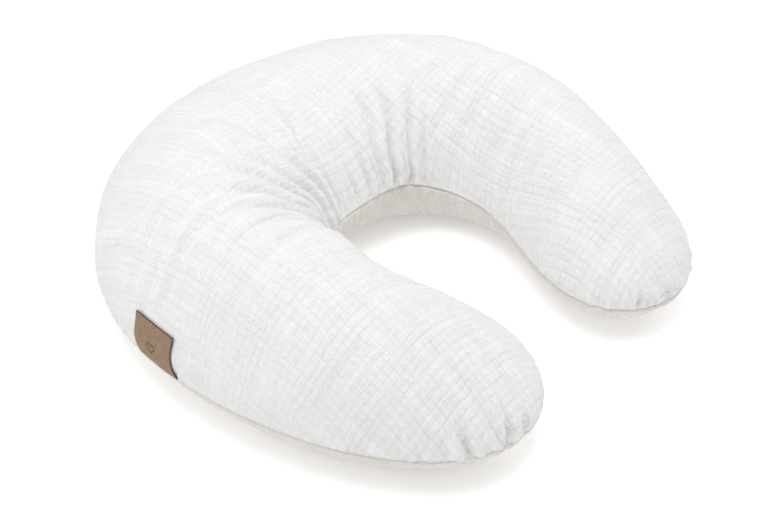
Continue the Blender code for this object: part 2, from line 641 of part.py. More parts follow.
def make_slider(metal):
    """Slider body: two plates joined by a post through the chain, with rails and a bridge."""
    half = SLIDER_LENGTH / 2.0
    plate_low, plate_high = -PLATE_DEPTH, -PLATE_DEPTH + PLATE_THICKNESS
    bury = PLATE_THICKNESS / 3.0
    rail_in = COIL_Z + COIL_HALF_HEIGHT + ZIP_CLEARANCE
    rail_out = PLATE_HALF_HEIGHT - ZIP_BEVEL
    rail_low = -TAPE_DEPTH + ZIP_CLEARANCE
    under_high = -TAPE_DEPTH - TAPE_THICKNESS - ZIP_CLEARANCE
    under_low = under_high - UNDER_THICKNESS
    under_half = TAPE_FOLD_Z - 2.0 * ZIP_CLEARANCE
    body = loose_object(box_body((-half, -PLATE_HALF_HEIGHT, plate_low),
                                 (half, PLATE_HALF_HEIGHT, plate_high), ZIP_BEVEL))
    rail_half = half - 2.0 * ZIP_BEVEL
    for low, high in ((rail_in, rail_out), (-rail_out, -rail_in)):
        rail = box_body((-rail_half, low, rail_low), (rail_half, high, plate_low + bury))
        combine(body, loose_object(rail), "UNION")
    under = loose_object(box_body((-half, -under_half, under_low),
                                  (half, under_half, under_high), ZIP_BEVEL))
    post_end = POST_PLACE - half
    post = box_body((post_end, -POST_HALF_HEIGHT, under_low + bury),
                    (post_end + POST_LENGTH, POST_HALF_HEIGHT, plate_low + bury))
    combine(body, loose_object(post), "UNION")
    combine(body, under, "UNION")
    arch_high = plate_high + BRIDGE_OPENING + BRIDGE_THICKNESS
    arch = loose_object(box_body((-BRIDGE_HALF_LENGTH, -BRIDGE_HALF_WIDTH, plate_high - bury),
                                 (BRIDGE_HALF_LENGTH, BRIDGE_HALF_WIDTH, arch_high), ZIP_BEVEL))
    window_half = BRIDGE_HALF_LENGTH - BRIDGE_THICKNESS
    window = box_body((-window_half, -2.0 * BRIDGE_HALF_WIDTH, plate_high - 2.0 * bury),
                      (window_half, 2.0 * BRIDGE_HALF_WIDTH, plate_high + BRIDGE_OPENING))
    combine(arch, loose_object(window), "DIFFERENCE")
    combine(body, arch, "UNION")
    axis_spot = (MIDDLE_X, ZIP_CENTRE_Y, OUTER_SEAM_Z)
    finish_part(body, "zip_slider", metal, slider_frame(SLIDER_REST_DEG), axis_spot)


def tab_pin_height():
    """Height of the pull tab's pin above the seam's circle, in the middle of the bridge."""
    return -PLATE_DEPTH + PLATE_THICKNESS + BRIDGE_OPENING / 2.0


def make_pull_tab(metal):
    """Pull tab: a flat plate with a window round the bridge, whose end bar is its pin."""
    pin_z = tab_pin_height()
    reach = 2.0 * TAB_HALF_THICKNESS
    plate = loose_object(box_body((-TAB_HALF_THICKNESS, -TAB_HALF_WIDTH, pin_z - TAB_HALF_THICKNESS),
                                  (TAB_LENGTH, TAB_HALF_WIDTH, pin_z + TAB_HALF_THICKNESS),
                                  ZIP_BEVEL))
    window_half = BRIDGE_HALF_WIDTH + ZIP_CLEARANCE
    window = box_body((TAB_HALF_THICKNESS, -window_half, pin_z - reach),
                      (BRIDGE_HALF_LENGTH + BRIDGE_THICKNESS, window_half, pin_z + reach))
    combine(plate, loose_object(window), "DIFFERENCE")
    grip_end = TAB_LENGTH - TAB_GRIP_END
    grip = box_body((grip_end - TAB_GRIP_LENGTH, -TAB_GRIP_HALF_WIDTH, pin_z - reach),
                    (grip_end, TAB_GRIP_HALF_WIDTH, pin_z + reach))
    combine(plate, loose_object(grip), "DIFFERENCE")
    frame = slider_frame(SLIDER_REST_DEG)
    finish_part(plate, "zip_pull_tab", metal, frame, frame @ Vector((0.0, 0.0, pin_z)))


# ---------------------------------------------------------------- label
LABEL_Y = 0.0285                    # middle of the label along the side
LABEL_LENGTH = 0.060
LABEL_HEIGHT = 0.047
LABEL_THICKNESS = 0.0012
LABEL_CLEARANCE = 0.0008
LABEL_FOOT = 0.0012                 # its lower edge starts this far above the seam
LABEL_STEPS = 6                     # along the seam and up the label
LABEL_SEARCH = (-0.75, -0.15)       # the label lies between these places on the centre line


def label_sections():
    """Sections across the label, from its front edge to its back edge."""
    fine = np.linspace(*LABEL_SEARCH, FINE_STEPS)
    sections = [Section(s) for s in fine]
    seam = np.array([sec.spot + sec.outward * sec.outer_width
                     * float(seam_share(OUTER_SEAM_Z, sec.height)) for sec in sections])
    run = np.concatenate([[0.0], np.cumsum(np.linalg.norm(np.diff(seam, axis=0), axis=1))])
    middle = float(np.interp(LABEL_Y, seam[:, 1], run))
    wanted = middle + np.linspace(-0.5, 0.5, LABEL_STEPS + 1) * LABEL_LENGTH
    return [Section(float(np.interp(w, run, fine))) for w in wanted]


def make_side_label(leatherette):
    """A leatherette label sewn in along its foot, lying up against the top panel."""
    rows = []
    for sec in label_sections():
        start = float(seam_angle(OUTER_SEAM_Z + LABEL_FOOT, sec.height))
        line = sec.arc(start, math.pi / 2.0, FINE_STEPS)
        run = np.concatenate([[0.0], np.cumsum(np.linalg.norm(np.diff(line, axis=0), axis=1))])
        wanted = np.linspace(0.0, LABEL_HEIGHT, LABEL_STEPS + 1)
        rows.append(np.column_stack([np.interp(wanted, run, line[:, k]) for k in range(3)]))
    grid = np.array(rows)
    along, up = np.gradient(grid, axis=0), np.gradient(grid, axis=1)
    normals = np.cross(up, along)
    normals /= np.linalg.norm(normals, axis=-1, keepdims=True)
    centre = np.array([0.0, 0.0, WIDEST_Z])
    if (normals * (grid - centre)).sum() < 0.0:
        normals = -normals
    near = grid + normals * LABEL_CLEARANCE
    far = near + normals * LABEL_THICKNESS
    rows_n, cols_n = grid.shape[:2]
    size = rows_n * cols_n
    faces = []
    for i in range(rows_n - 1):
        for j in range(cols_n - 1):
            a = i * cols_n + j
            b, c, d = a + 1, a + cols_n + 1, a + cols_n
            faces += [(a, b, c), (a, c, d), (a + size, c + size, b + size),
                      (a + size, d + size, c + size)]
    rim = list(range(cols_n))
    rim += [i * cols_n + cols_n - 1 for i in range(1, rows_n)]
    rim += [(rows_n - 1) * cols_n + j for j in range(cols_n - 2, -1, -1)]
    rim += [i * cols_n for i in range(rows_n - 2, 0, -1)]
    for k, here in enumerate(rim):
        there = rim[(k + 1) % len(rim)]
        faces.append((here, there, there + size, here + size))
    hinge = grid[rows_n // 2, 0] * [1.0, 1.0, 0.0] + [0.0, 0.0, OUTER_SEAM_Z]
    points = np.vstack([near.reshape(-1, 3), far.reshape(-1, 3)])
    return make_object("side_label", points, faces, leatherette, origin=hinge)


# ---------------------------------------------------------------- the whole pillow
def clear_scene():
    for item in list(bpy.data.objects):
        bpy.data.objects.remove(item, do_unlink=True)


def main():
    clear_scene()
    muslin = make_material("muslin", (0.93, 0.93, 0.92), 0.95)
    liner = make_material("liner_cotton", (0.90, 0.90, 0.88), 0.9)
    fibre = make_material("hollow_fibre", (0.96, 0.96, 0.96), 1.0)
    thread = make_material("sewing_thread", (0.90, 0.90, 0.89), 0.7)
    tape = make_material("zip_tape", (0.88, 0.88, 0.87), 0.85)
    coil = make_material("zip_coil", (0.90, 0.90, 0.90), 0.4)
    metal = make_material("zip_metal", (0.72, 0.72, 0.73), 0.3, 1.0)
    leatherette = make_material("leatherette", (0.33, 0.21, 0.13), 0.6)
    skin = Skin(cover=True)
    plain_skin = Skin(cover=False)
    make_cover(skin, muslin)
    make_liner(plain_skin, liner)
    make_filling(plain_skin, fibre)
    make_seam_threads(skin, plain_skin, thread)
    make_zip_chain(tape, coil, metal)
    make_slider(metal)
    make_pull_tab(metal)
    make_side_label(leatherette)


main()
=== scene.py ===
"""Looks for the nursing pillow: muslin cover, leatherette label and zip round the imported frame.

The cover is built on the same centre line and cross-sections as the frame, at a fine step, and then
creased: folds that run up from the waist notch, gathers along the seams, tucks round the arms' tips,
soft lumps of filling, and the crinkled squares of double gauze.
"""

import math
from types import SimpleNamespace

import bpy
import numpy as np
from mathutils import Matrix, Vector
from mathutils.kdtree import KDTree


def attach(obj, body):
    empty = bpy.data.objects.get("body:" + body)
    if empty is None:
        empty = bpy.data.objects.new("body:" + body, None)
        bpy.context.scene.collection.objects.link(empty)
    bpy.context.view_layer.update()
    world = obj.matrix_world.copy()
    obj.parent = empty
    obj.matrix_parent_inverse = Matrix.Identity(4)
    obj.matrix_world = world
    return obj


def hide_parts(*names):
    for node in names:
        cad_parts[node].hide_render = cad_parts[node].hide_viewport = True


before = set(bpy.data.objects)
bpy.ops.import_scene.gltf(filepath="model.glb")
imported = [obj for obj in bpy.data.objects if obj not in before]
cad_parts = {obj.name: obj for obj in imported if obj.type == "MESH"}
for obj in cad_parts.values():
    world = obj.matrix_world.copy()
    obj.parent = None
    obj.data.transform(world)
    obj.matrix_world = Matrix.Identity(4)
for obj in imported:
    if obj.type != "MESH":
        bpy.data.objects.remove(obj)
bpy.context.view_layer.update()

# ------------------------ the pillow's shape (metres)
HALF_LENGTH = 0.6034  # of the centre line, from the back to an arm's tip
MIDDLE_X = 0.0025
BACK_Y = 0.1660
STATIONS = (0.0, 0.25, 0.5, 0.75, 1.0)  # shares of the half length
HEADINGS_DEG = (0.0, 41.7, 86.5, 115.5, 109.8)
HALF_WIDTHS = (0.1407, 0.1279, 0.0991, 0.0970, 0.1279)
DOME_HEIGHTS = (0.1142, 0.1228, 0.1228, 0.0971, 0.0620)
LEFT_ARM_FULLER = 0.0090  # half the difference in half width between the two arms
FULLER_AT = 0.75
FULLER_REACH = 0.2
WIDEST_Z = 0.0634
FLOOR_SAG = 0.0093  # the plain section reaches this far below the floor
TOP_ROUNDNESS = 1.78
BOTTOM_ROUNDNESS = 2.03
TIP_LENGTH = 0.1950
TIP_UNDERSIDE_POWER = 1.05
OUTER_SEAM_Z = 0.0519
NOTCH_SEAM_Z = 0.0732
NOTCH_SEAM_REACH = 0.75
SEAM_GAP = 0.0003  # between the two panels
SEAM_ALLOWANCE = 0.0045  # cloth turned in at the seam
ZIP_CENTRE_Y = 0.0052
ZIP_RADIUS = 0.3000
ZIP_START_DEG = 48.0
ZIP_END_DEG = 126.0
ZIP_SLIT_HALF = 0.0045
ZIP_SLIT_CLOSE_DEG = 1.3
ZIP_BLEND_DEG = 24.0

# ------------------------ mesh steps
CENTRE_STEPS = 800
FINE_ANGLES = 220
LENGTH_STATIONS = 840
TOP_COLUMNS = 168
BOTTOM_COLUMNS = 92
EDGE_PLACES = (0.0, 0.0007, 0.0014, 0.0021, 0.0030, 0.0042)  # closer columns next to a seam


def smoothstep(x):
    x = np.clip(x, 0.0, 1.0)
    return x * x * (3.0 - 2.0 * x)


def bump_of(x, width):
    """A soft rounded hump, 1 at x = 0."""
    return np.exp(-(x / width) ** 2)


def noise(points, seed):
    """Smooth value noise from -1 to 1 over points in the plane, one lattice cell per unit."""
    table = np.random.default_rng(seed).uniform(-1.0, 1.0, (256, 256))
    cell = np.floor(points).astype(int)
    share = points - cell
    share = share ** 3 * (share * (share * 6.0 - 15.0) + 10.0)
    i, j = cell[..., 0] % 256, cell[..., 1] % 256
    k, m = (i + 1) % 256, (j + 1) % 256
    x, y = share[..., 0], share[..., 1]
    low = table[i, j] * (1.0 - x) + table[k, j] * x
    high = table[i, m] * (1.0 - x) + table[k, m] * x
    return low * (1.0 - y) + high * y


# ------------------------ centre line and sections
def through_stations(values, x, turning=False):
    """A smooth cubic through the stations, level (or, when turning, odd) at the first one."""
    places = np.array(STATIONS)
    values = np.array(values)
    step = places[1] - places[0]
    slopes = np.zeros(len(values))
    slopes[0] = values[1] / step if turning else 0.0
    slopes[1:-1] = (values[2:] - values[:-2]) / (2.0 * step)
    slopes[-1] = (values[-1] - values[-2]) / step
    left = np.clip(np.searchsorted(places, x, side="right") - 1, 0, len(values) - 2)
    t = (x - places[left]) / step
    rise = 3.0 * t ** 2 - 2.0 * t ** 3
    return (values[left] * (1.0 - rise) + values[left + 1] * rise
            + step * slopes[left] * (t ** 3 - 2.0 * t ** 2 + t)
            + step * slopes[left + 1] * (t ** 3 - t ** 2))


def centre_line(s):
    """Points and outward directions of the centre line; s runs from -1 (left tip) to 1."""
    run = np.linspace(0.0, 1.0, CENTRE_STEPS + 1)
    heading = -np.radians(through_stations(HEADINGS_DEG, run, turning=True))
    east, north = np.cos(heading), np.sin(heading)
    step = HALF_LENGTH / CENTRE_STEPS
    x_run = np.concatenate([[0.0], np.cumsum((east[1:] + east[:-1]) / 2.0 * step)])
    y_run = BACK_Y + np.concatenate([[0.0], np.cumsum((north[1:] + north[:-1]) / 2.0 * step)])
    side, along = np.sign(s), np.abs(s)
    turn = np.interp(along, run, heading)
    spot = np.stack([MIDDLE_X + side * np.interp(along, run, x_run),
                     np.interp(along, run, y_run)], axis=-1)
    return spot, np.stack([-np.sin(turn) * side, np.cos(turn)], axis=-1)


def wall_share(z, height):
    """How far out the wall is at a height, as a share of the half width."""
    low = np.clip((WIDEST_Z - z) / (WIDEST_Z + FLOOR_SAG), 0.0, 1.0)
    high = np.clip((z - WIDEST_Z) / height, 0.0, 1.0)
    low_share = (1.0 - low ** BOTTOM_ROUNDNESS) ** (1.0 / BOTTOM_ROUNDNESS)
    high_share = (1.0 - high ** TOP_ROUNDNESS) ** (1.0 / TOP_ROUNDNESS)
    return np.where(z < WIDEST_Z, low_share, high_share)


def wall_angle(z, height):
    """The section's parameter angle, above the widest line, at a height."""
    low = np.clip((WIDEST_Z - z) / (WIDEST_Z + FLOOR_SAG), 0.0, 1.0) ** (BOTTOM_ROUNDNESS / 2.0)
    high = np.clip((z - WIDEST_Z) / height, 0.0, 1.0) ** (TOP_ROUNDNESS / 2.0)
    return np.where(z < WIDEST_Z, -np.arcsin(low), np.arcsin(high))


def sections(s):
    """Everything that describes the cross-sections at the places s."""
    along = np.abs(s)
    spot, outward = centre_line(s)
    height = through_stations(DOME_HEIGHTS, along)
    fuller = LEFT_ARM_FULLER * bump_of(along - FULLER_AT, FULLER_REACH)
    inner = through_stations(HALF_WIDTHS, along) - np.sign(s) * fuller
    to_tip = np.clip((1.0 - along) * HALF_LENGTH / TIP_LENGTH, 0.0, 1.0)
    close = np.sqrt(np.clip(1.0 - (1.0 - to_tip) ** 2, 0.0, 1.0))
    ease = np.cos(np.minimum(along / NOTCH_SEAM_REACH, 1.0) * math.pi / 2.0)
    sec = SimpleNamespace(s=s, spot=spot, outward=outward, height=height, inner=inner, outer=inner,
                          close=close, under=close ** TIP_UNDERSIDE_POWER,
                          inner_seam=OUTER_SEAM_Z + (NOTCH_SEAM_Z - OUTER_SEAM_Z) * ease)
    share = wall_share(OUTER_SEAM_Z, height)
    circle = 1.0 - smoothstep((degrees_past_zip(sec) - ZIP_SLIT_CLOSE_DEG) / ZIP_BLEND_DEG)
    offset = spot - np.array([MIDDLE_X, ZIP_CENTRE_Y])
    lean = (offset * outward).sum(axis=1)
    reach = -lean + np.sqrt(np.maximum(lean ** 2 + ZIP_RADIUS ** 2 - (offset ** 2).sum(axis=1), 0.0))
    sec.outer = inner + circle * (reach / share - inner)
    opened = 1.0 - smoothstep(degrees_past_zip(sec) / ZIP_SLIT_CLOSE_DEG)
    sec.slit_half = SEAM_GAP / 2.0 + (ZIP_SLIT_HALF - SEAM_GAP / 2.0) * opened
    return sec


def degrees_past_zip(sec):
    """How far the outer seam is beyond the zip's ends, seen from the zip circle's centre."""
    reach = (sec.outer * sec.close * wall_share(OUTER_SEAM_Z, sec.height))[:, None]
    x, y = (sec.spot + sec.outward * reach).T
    bearing = np.degrees(np.arctan2(y - ZIP_CENTRE_Y, x - MIDDLE_X))
    return np.maximum(ZIP_START_DEG - bearing, bearing - ZIP_END_DEG)


def section_points(sec, angles):
    """Points of each section at its row of angles: 0 outwards, a quarter turn up."""
    across, rise = np.cos(angles), np.sin(angles)
    upper = rise >= 0.0
    power = np.where(upper, 2.0 / TOP_ROUNDNESS, 2.0 / BOTTOM_ROUNDNESS)
    share = np.sign(across) * np.abs(across) ** power
    lift = np.abs(rise) ** power
    z = np.where(upper, WIDEST_Z + sec.height[:, None] * lift,
                 np.maximum(WIDEST_Z - (WIDEST_Z + FLOOR_SAG) * lift, 0.0))
    width = np.where(across >= 0.0, sec.outer[:, None], sec.inner[:, None])
    reach = share * width * sec.close[:, None]
    squeeze = np.where(z >= OUTER_SEAM_Z, sec.close[:, None], sec.under[:, None])
    z = OUTER_SEAM_Z + (z - OUTER_SEAM_Z) * squeeze
    plan = sec.spot[:, None, :] + sec.outward[:, None, :] * reach[..., None]
    return np.concatenate([plan, z[..., None]], axis=2)


def lengths(points, axis):
    """Running length of polylines along one axis of a grid of points."""
    steps = np.linalg.norm(np.diff(points, axis=axis), axis=-1)
    start = np.zeros_like(np.take(steps, [0], axis=axis))
    return np.concatenate([start, np.cumsum(steps, axis=axis)], axis=axis)


def even_stations(count):
    """Places s for evenly spaced sections, closer together next to the tips."""
    turn = np.linspace(0.0, math.pi / 2.0, 300)
    tip = 1.0 - (1.0 - np.cos(turn)) * 0.4
    half = np.concatenate([np.linspace(0.0, 0.6, 300, endpoint=False), tip[::-1]])
    fine = np.concatenate([-half[:0:-1], half])
    sec = sections(fine)
    routes = section_points(sec, np.tile([0.0, 0.8, math.pi / 2.0, 2.3, math.pi], (len(fine), 1)))
    run = lengths(routes, 0).mean(axis=1)
    edge = np.array(EDGE_PLACES)
    body = np.linspace(edge[-1], run[-1] - edge[-1], count - 2 * len(edge) + 2)
    wanted = np.concatenate([edge[:-1], body, run[-1] - edge[-2::-1]])
    return np.interp(wanted, run, fine)


# ------------------------ a panel as a grid
GAUZE_CELL = 0.0082  # pitch of the crinkled squares
OUTER_UNFOLD = 0.9  # how much of the wall's height the flat cut spreads out again
INNER_UNFOLD = 0.45


def column_places(total, columns):
    """Distances across a section, closer together next to both seams, one row per section."""
    edge = np.array(EDGE_PLACES)[None, :] * np.minimum(total / (4.0 * EDGE_PLACES[-1]), 1.0)[:, None]
    share = np.linspace(0.0, 1.0, columns - 2 * edge.shape[1] + 2)[None, :]
    first, last = edge[:, -1:], total[:, None] - edge[:, -1:]
    body = first + (last - first) * share
    return np.concatenate([edge[:, :-1], body, total[:, None] - edge[:, -2::-1]], axis=1)


def make_grid(sec, top, columns):
    """One panel's smooth surface from the outer to the inner seam, with its distances."""
    scale = np.maximum(sec.close, 1e-4)
    scale_under = np.maximum(sec.under, 1e-4)
    gap = SEAM_GAP / 2.0
    if top:
        start = wall_angle(OUTER_SEAM_Z + sec.slit_half / scale, sec.height)
        end = math.pi - wall_angle(sec.inner_seam + gap / scale, sec.height)
        crest = math.pi / 2.0
    else:
        start = wall_angle(OUTER_SEAM_Z - sec.slit_half / scale_under, sec.height)
        end = -math.pi - wall_angle(sec.inner_seam - gap / scale_under, sec.height)
        crest = -math.pi / 2.0
    share = np.linspace(0.0, 1.0, FINE_ANGLES)[None, :]
    angles = start[:, None] + (end - start)[:, None] * share
    fine = section_points(sec, angles)
    run = lengths(fine, 1)
    wanted = column_places(run[:, -1], columns)
    count = len(sec.s)
    points = np.empty((count, columns, 3))
    crest_run = np.empty(count)
    for i in range(count):
        for axis in range(3):
            points[i, :, axis] = np.interp(wanted[i], run[i], fine[i, :, axis])
        order = angles[i] if top else angles[i][::-1]
        crest_run[i] = np.interp(crest, order, run[i] if top else run[i][::-1])
    grid = SimpleNamespace(sec=sec, top=top, points=points, from_outer=wanted,
                           from_inner=run[:, -1:] - wanted, crest_run=crest_run)
    grid.normals = surface_normals(points, sec)
    grid.inner_run = lengths(points[:, -1], 0)
    grid.inner_run -= np.interp(0.0, sec.s, grid.inner_run)
    grid.outer_run = lengths(points[:, 0], 0)
    grid.outer_run -= np.interp(0.0, sec.s, grid.outer_run)
    grid.flat = flat_cut(grid)
    measure_rim(grid)
    return grid


def surface_normals(points, sec):
    """Unit normals of a grid, pointing out of the pillow."""
    normals = np.cross(np.gradient(points, axis=0), np.gradient(points, axis=1))
    size = np.linalg.norm(normals, axis=2, keepdims=True)
    normals = normals / np.maximum(size, 1e-12)
    axis_points = np.concatenate([sec.spot, np.full((len(sec.s), 1), OUTER_SEAM_Z)], axis=1)
    facing = ((points - axis_points[:, None, :]) * normals).sum()
    normals *= np.sign(facing)
    tangent = np.stack([sec.outward[:, 1], -sec.outward[:, 0], np.zeros(len(sec.s))], axis=1)
    normals[0], normals[-1] = -tangent[0], tangent[-1]
    return normals


def flat_cut(grid):
    """Where each point lies on the flat cut panel: the plan view with the walls folded out."""
    sec, points = grid.sec, grid.points
    offset = points[..., :2] - sec.spot[:, None, :]
    reach = (offset * sec.outward[:, None, :]).sum(axis=2)
    from_crest = grid.crest_run[:, None] - grid.from_outer
    share = np.where(from_crest > 0.0, OUTER_UNFOLD, INNER_UNFOLD)
    folded = np.sign(from_crest) * share * np.maximum(np.abs(from_crest) - np.abs(reach), 0.0)
    middle = points.shape[1] // 2
    crest_line = points[:, middle]
    extra = lengths(crest_line, 0) - lengths(crest_line[:, :2], 0)
    extra -= np.interp(0.0, sec.s, extra)
    tangent = np.stack([sec.outward[:, 1], -sec.outward[:, 0]], axis=1)
    return (points[..., :2] + sec.outward[:, None, :] * folded[..., None]
            + tangent[:, None, :] * extra[:, None, None])


def rim_of(rows, poles):
    """A panel's outline as one loop: outer seam, right tip, inner seam back, left tip."""
    return np.vstack([rows[1:-1, 0], poles[1:], rows[-2:0:-1, -1], poles[:1]])


def measure_rim(grid):
    """Each point's distance from the panel's outline, and where along the outline it is."""
    poles = grid.points[[0, -1], 0]
    rim = rim_of(grid.points, poles)
    run = lengths(np.vstack([rim, rim[:1]]), 0)
    tree = KDTree(len(rim))
    for k, point in enumerate(rim):
        tree.insert(point, k)
    tree.balance()
    flat = grid.points.reshape(-1, 3)
    found = [tree.find(point)[1:] for point in flat]
    shape = grid.points.shape[:2]
    grid.rim_at = run[[index for index, _ in found]].reshape(shape)
    grid.rim_gap = np.array([gap for _, gap in found]).reshape(shape)
    grid.tip_gap = np.minimum(np.linalg.norm(grid.points - poles[0], axis=2),
                              np.linalg.norm(grid.points - poles[1], axis=2))


# ------------------------ folds, gathers and crinkle
# Long folds up from the waist notch: place on the seam, place of the far end, length, height,
# width.  A fan of them runs from the notch's near corner over the left arm.  A fold with a
# negative width has its valley on the other side.
LONG_FOLDS = ((0.0640, 0.0520, 0.170, 0.0064, -0.0052), (0.0480, 0.0370, 0.180, 0.0050, -0.0050),
              (0.0290, 0.0250, 0.135, 0.0042, -0.0044), (0.0830, 0.0680, 0.175, 0.0048, -0.0050),
              (0.0080, 0.0160, 0.125, 0.0022, -0.0042), (0.1010, 0.0850, 0.120, 0.0022, -0.0042),
              (0.0390, 0.0310, 0.080, 0.0018, -0.0026), (0.0730, 0.0640, 0.090, 0.0018, -0.0026),
              (-0.030, -0.004, 0.230, 0.0054, 0.0052), (-0.034, -0.021, 0.210, 0.0030, 0.0044),
              (-0.044, -0.039, 0.260, 0.0084, 0.0070), (-0.058, -0.068, 0.240, 0.0062, 0.0056),
              (-0.074, -0.087, 0.280, 0.0064, 0.0058), (-0.092, -0.104, 0.280, 0.0060, 0.0058),
              (-0.110, -0.117, 0.290, 0.0050, 0.0056), (-0.128, -0.134, 0.270, 0.0038, 0.0056),
              (-0.146, -0.152, 0.250, 0.0026, 0.0056))
SHORT_FOLD_PITCH = 0.0088
SHORT_FOLD_WIDTH = 0.0036
SHORT_FOLD_REACH = 0.23  # short folds fade out this far from the notch's middle
SHORT_FOLD_HEIGHT = 0.0011
FOLD_START = 0.006  # a fold rises out of the seam over this distance
FOLD_FADES_AT = 0.45  # share of its length where a long fold starts to fade
FOLD_BEND = 1.3  # how late a long fold leans over to its far end
FOLD_WIDENS = 0.3
VALLEY_DEPTH = 0.95  # the valley beside a fold's ridge, in ridge heights and widths
VALLEY_AT = 1.35
VALLEY_WIDTH = 0.45
FOLD_WANDER = 0.0035
FOLD_WANDER_SIZE = (0.05, 0.045)
FOLD_WANDER_START = 0.02

GATHER_PITCH = 0.0125  # small gathers along the outer seam
GATHER_HEIGHT = 0.0010
GATHER_REACH = 0.030
TIP_REACH = 0.15  # stronger gathers this close to an arm's tip
TIP_GATHER_PITCH = 0.0170
TIP_GATHER_HEIGHT = 0.0008
TIP_GATHER_REACH = 0.034

# Bulges: on the top panel or not, place along the notch seam and distance from it, size, height.
BULGES = ((True, -0.122, 0.078, 0.040, 0.050, 0.0070), (False, 0.095, 0.050, 0.045, 0.045, 0.0055),
          (True, -0.094, 0.048, 0.028, 0.036, 0.0120), (True, -0.030, 0.060, 0.018, 0.060, -0.0025),
          (True, -0.158, 0.098, 0.030, 0.042, 0.0105))

# Single tucks round the arms' tips: where on the seam, length, depth, width, lean.
TUCKS = (
    ((-0.193, -0.288), 0.046, 0.0070, 0.0046, 0.30), ((-0.157, -0.303), 0.045, 0.0062, 0.0038, -0.20),
    ((-0.228, -0.259), 0.034, 0.0024, 0.0042, 0.20), ((-0.135, -0.303), 0.032, 0.0030, 0.0036, -0.30),
    ((0.062, -0.256), 0.036, 0.0046, 0.0040, 0.20), ((0.088, -0.291), 0.036, 0.0036, 0.0032, -0.10),
    ((0.120, -0.303), 0.030, 0.0016, 0.0034, 0.15), ((0.180, -0.290), 0.030, 0.0020, 0.0036, 0.20))
GATHERS_BELOW = 0.5  # how deep the bottom panel's gathers are beside the top's
TUCKS_BELOW = 0.3  # and its tucks
SEAM_RISE = 0.0065  # the notch seam stands this much higher at one place
SEAM_RISE_AT = 0.066
SEAM_RISE_REACH = 0.030
SEAM_RISE_FADE = 0.030

LUMP_SIZE = 0.075
LUMP_HEIGHT = 0.0016
DIMPLE_SIZE = 0.028
DIMPLE_HEIGHT = 0.0006

CRINKLE_HEIGHT = 0.00110
FINE_LINES = 2.13  # finer crinkle lines per crinkle square
CLOTH_DRIFT = (0.0020, 0.055)  # how far the weave wanders, and over what distance
CLOTH_JITTER = (0.0009, 0.013)
UNEVEN_SPACING = 0.26  # in crinkle squares
SEAM_LIP_HEIGHT = 0.0008
SEAM_LIP_AT = 0.0024
SEAM_LIP_WIDTH = 0.0014
SEAM_GROOVE = 0.0010
SEAM_GROOVE_WIDTH = 0.0011


def crease(x, width):
    """Across a fold: a rounded ridge with a narrower valley beside it."""
    valley = bump_of(x - VALLEY_AT * width, VALLEY_WIDTH * width)
    return bump_of(x, width) - VALLEY_DEPTH * valley


def notch_folds(grid):
    """Folds that run up from the waist notch's seam over the dome."""
    place = grid.inner_run[:, None] + np.zeros_like(grid.from_inner)
    up = grid.from_inner
    sideways, upwards = FOLD_WANDER_SIZE
    wander = FOLD_WANDER * noise(np.stack([place / sideways, up / upwards], axis=-1), 11)
    place = place + wander * smoothstep(up / FOLD_WANDER_START)
    total = np.zeros_like(up)
    for start, end, length, height, width in LONG_FOLDS:
        line = start + (end - start) * np.clip(up / length, 0.0, 1.0) ** FOLD_BEND
        gone = smoothstep((up / length - FOLD_FADES_AT) / (1.0 - FOLD_FADES_AT))
        fade = smoothstep(up / FOLD_START) * (1.0 - gone)
        total += height * fade * crease(place - line, width * (1.0 + FOLD_WIDENS * up / length))
    dice = np.random.default_rng(5)
    spots = np.arange(-SHORT_FOLD_REACH, SHORT_FOLD_REACH, SHORT_FOLD_PITCH)
    for spot in spots:
        start = spot + dice.uniform(-0.3, 0.3) * SHORT_FOLD_PITCH
        length = dice.uniform(0.020, 0.075)
        size = SHORT_FOLD_HEIGHT * dice.uniform(0.3, 1.0) * bump_of(start, 0.75 * SHORT_FOLD_REACH)
        slant = dice.uniform(-0.12, 0.12)
        side = 1.0 if dice.uniform() < 0.5 else -1.0
        width = SHORT_FOLD_WIDTH * dice.uniform(0.55, 0.95)
        fade = smoothstep(up / FOLD_START) * (1.0 - smoothstep(up / length))
        total += size * fade * crease(side * (place - start - slant * up), width)
    return total


def gathers(along, gap, pitch, reach, seed):
    """Uneven gathers square to a seam, strongest a little way from it, from -1 to 1."""
    wander = noise(np.stack([along / (2.3 * pitch), gap / (2.0 * reach)], axis=-1), seed)
    ridge = np.sin(2.0 * math.pi * (along / pitch + 0.42 * wander))
    uneven = 0.55 + 0.45 * noise(np.stack([along / (3.1 * pitch), gap * 0.0], axis=-1), seed + 1)
    near = smoothstep(gap / 0.005) * np.exp(-(gap / (reach * (0.5 + uneven))) ** 2)
    return ridge * uneven * near


def seam_gathers(grid):
    """Gathers all round the panel's outline, deeper round the arms' tips."""
    at_tip = np.exp(-(grid.tip_gap / TIP_REACH) ** 4)
    plain = GATHER_HEIGHT * gathers(grid.rim_at, grid.rim_gap, GATHER_PITCH, GATHER_REACH, 21)
    tip = gathers(grid.rim_at, grid.rim_gap, TIP_GATHER_PITCH, TIP_GATHER_REACH, 31)
    total = plain * (1.0 - at_tip) + TIP_GATHER_HEIGHT * tip * at_tip
    return total if grid.top else GATHERS_BELOW * total


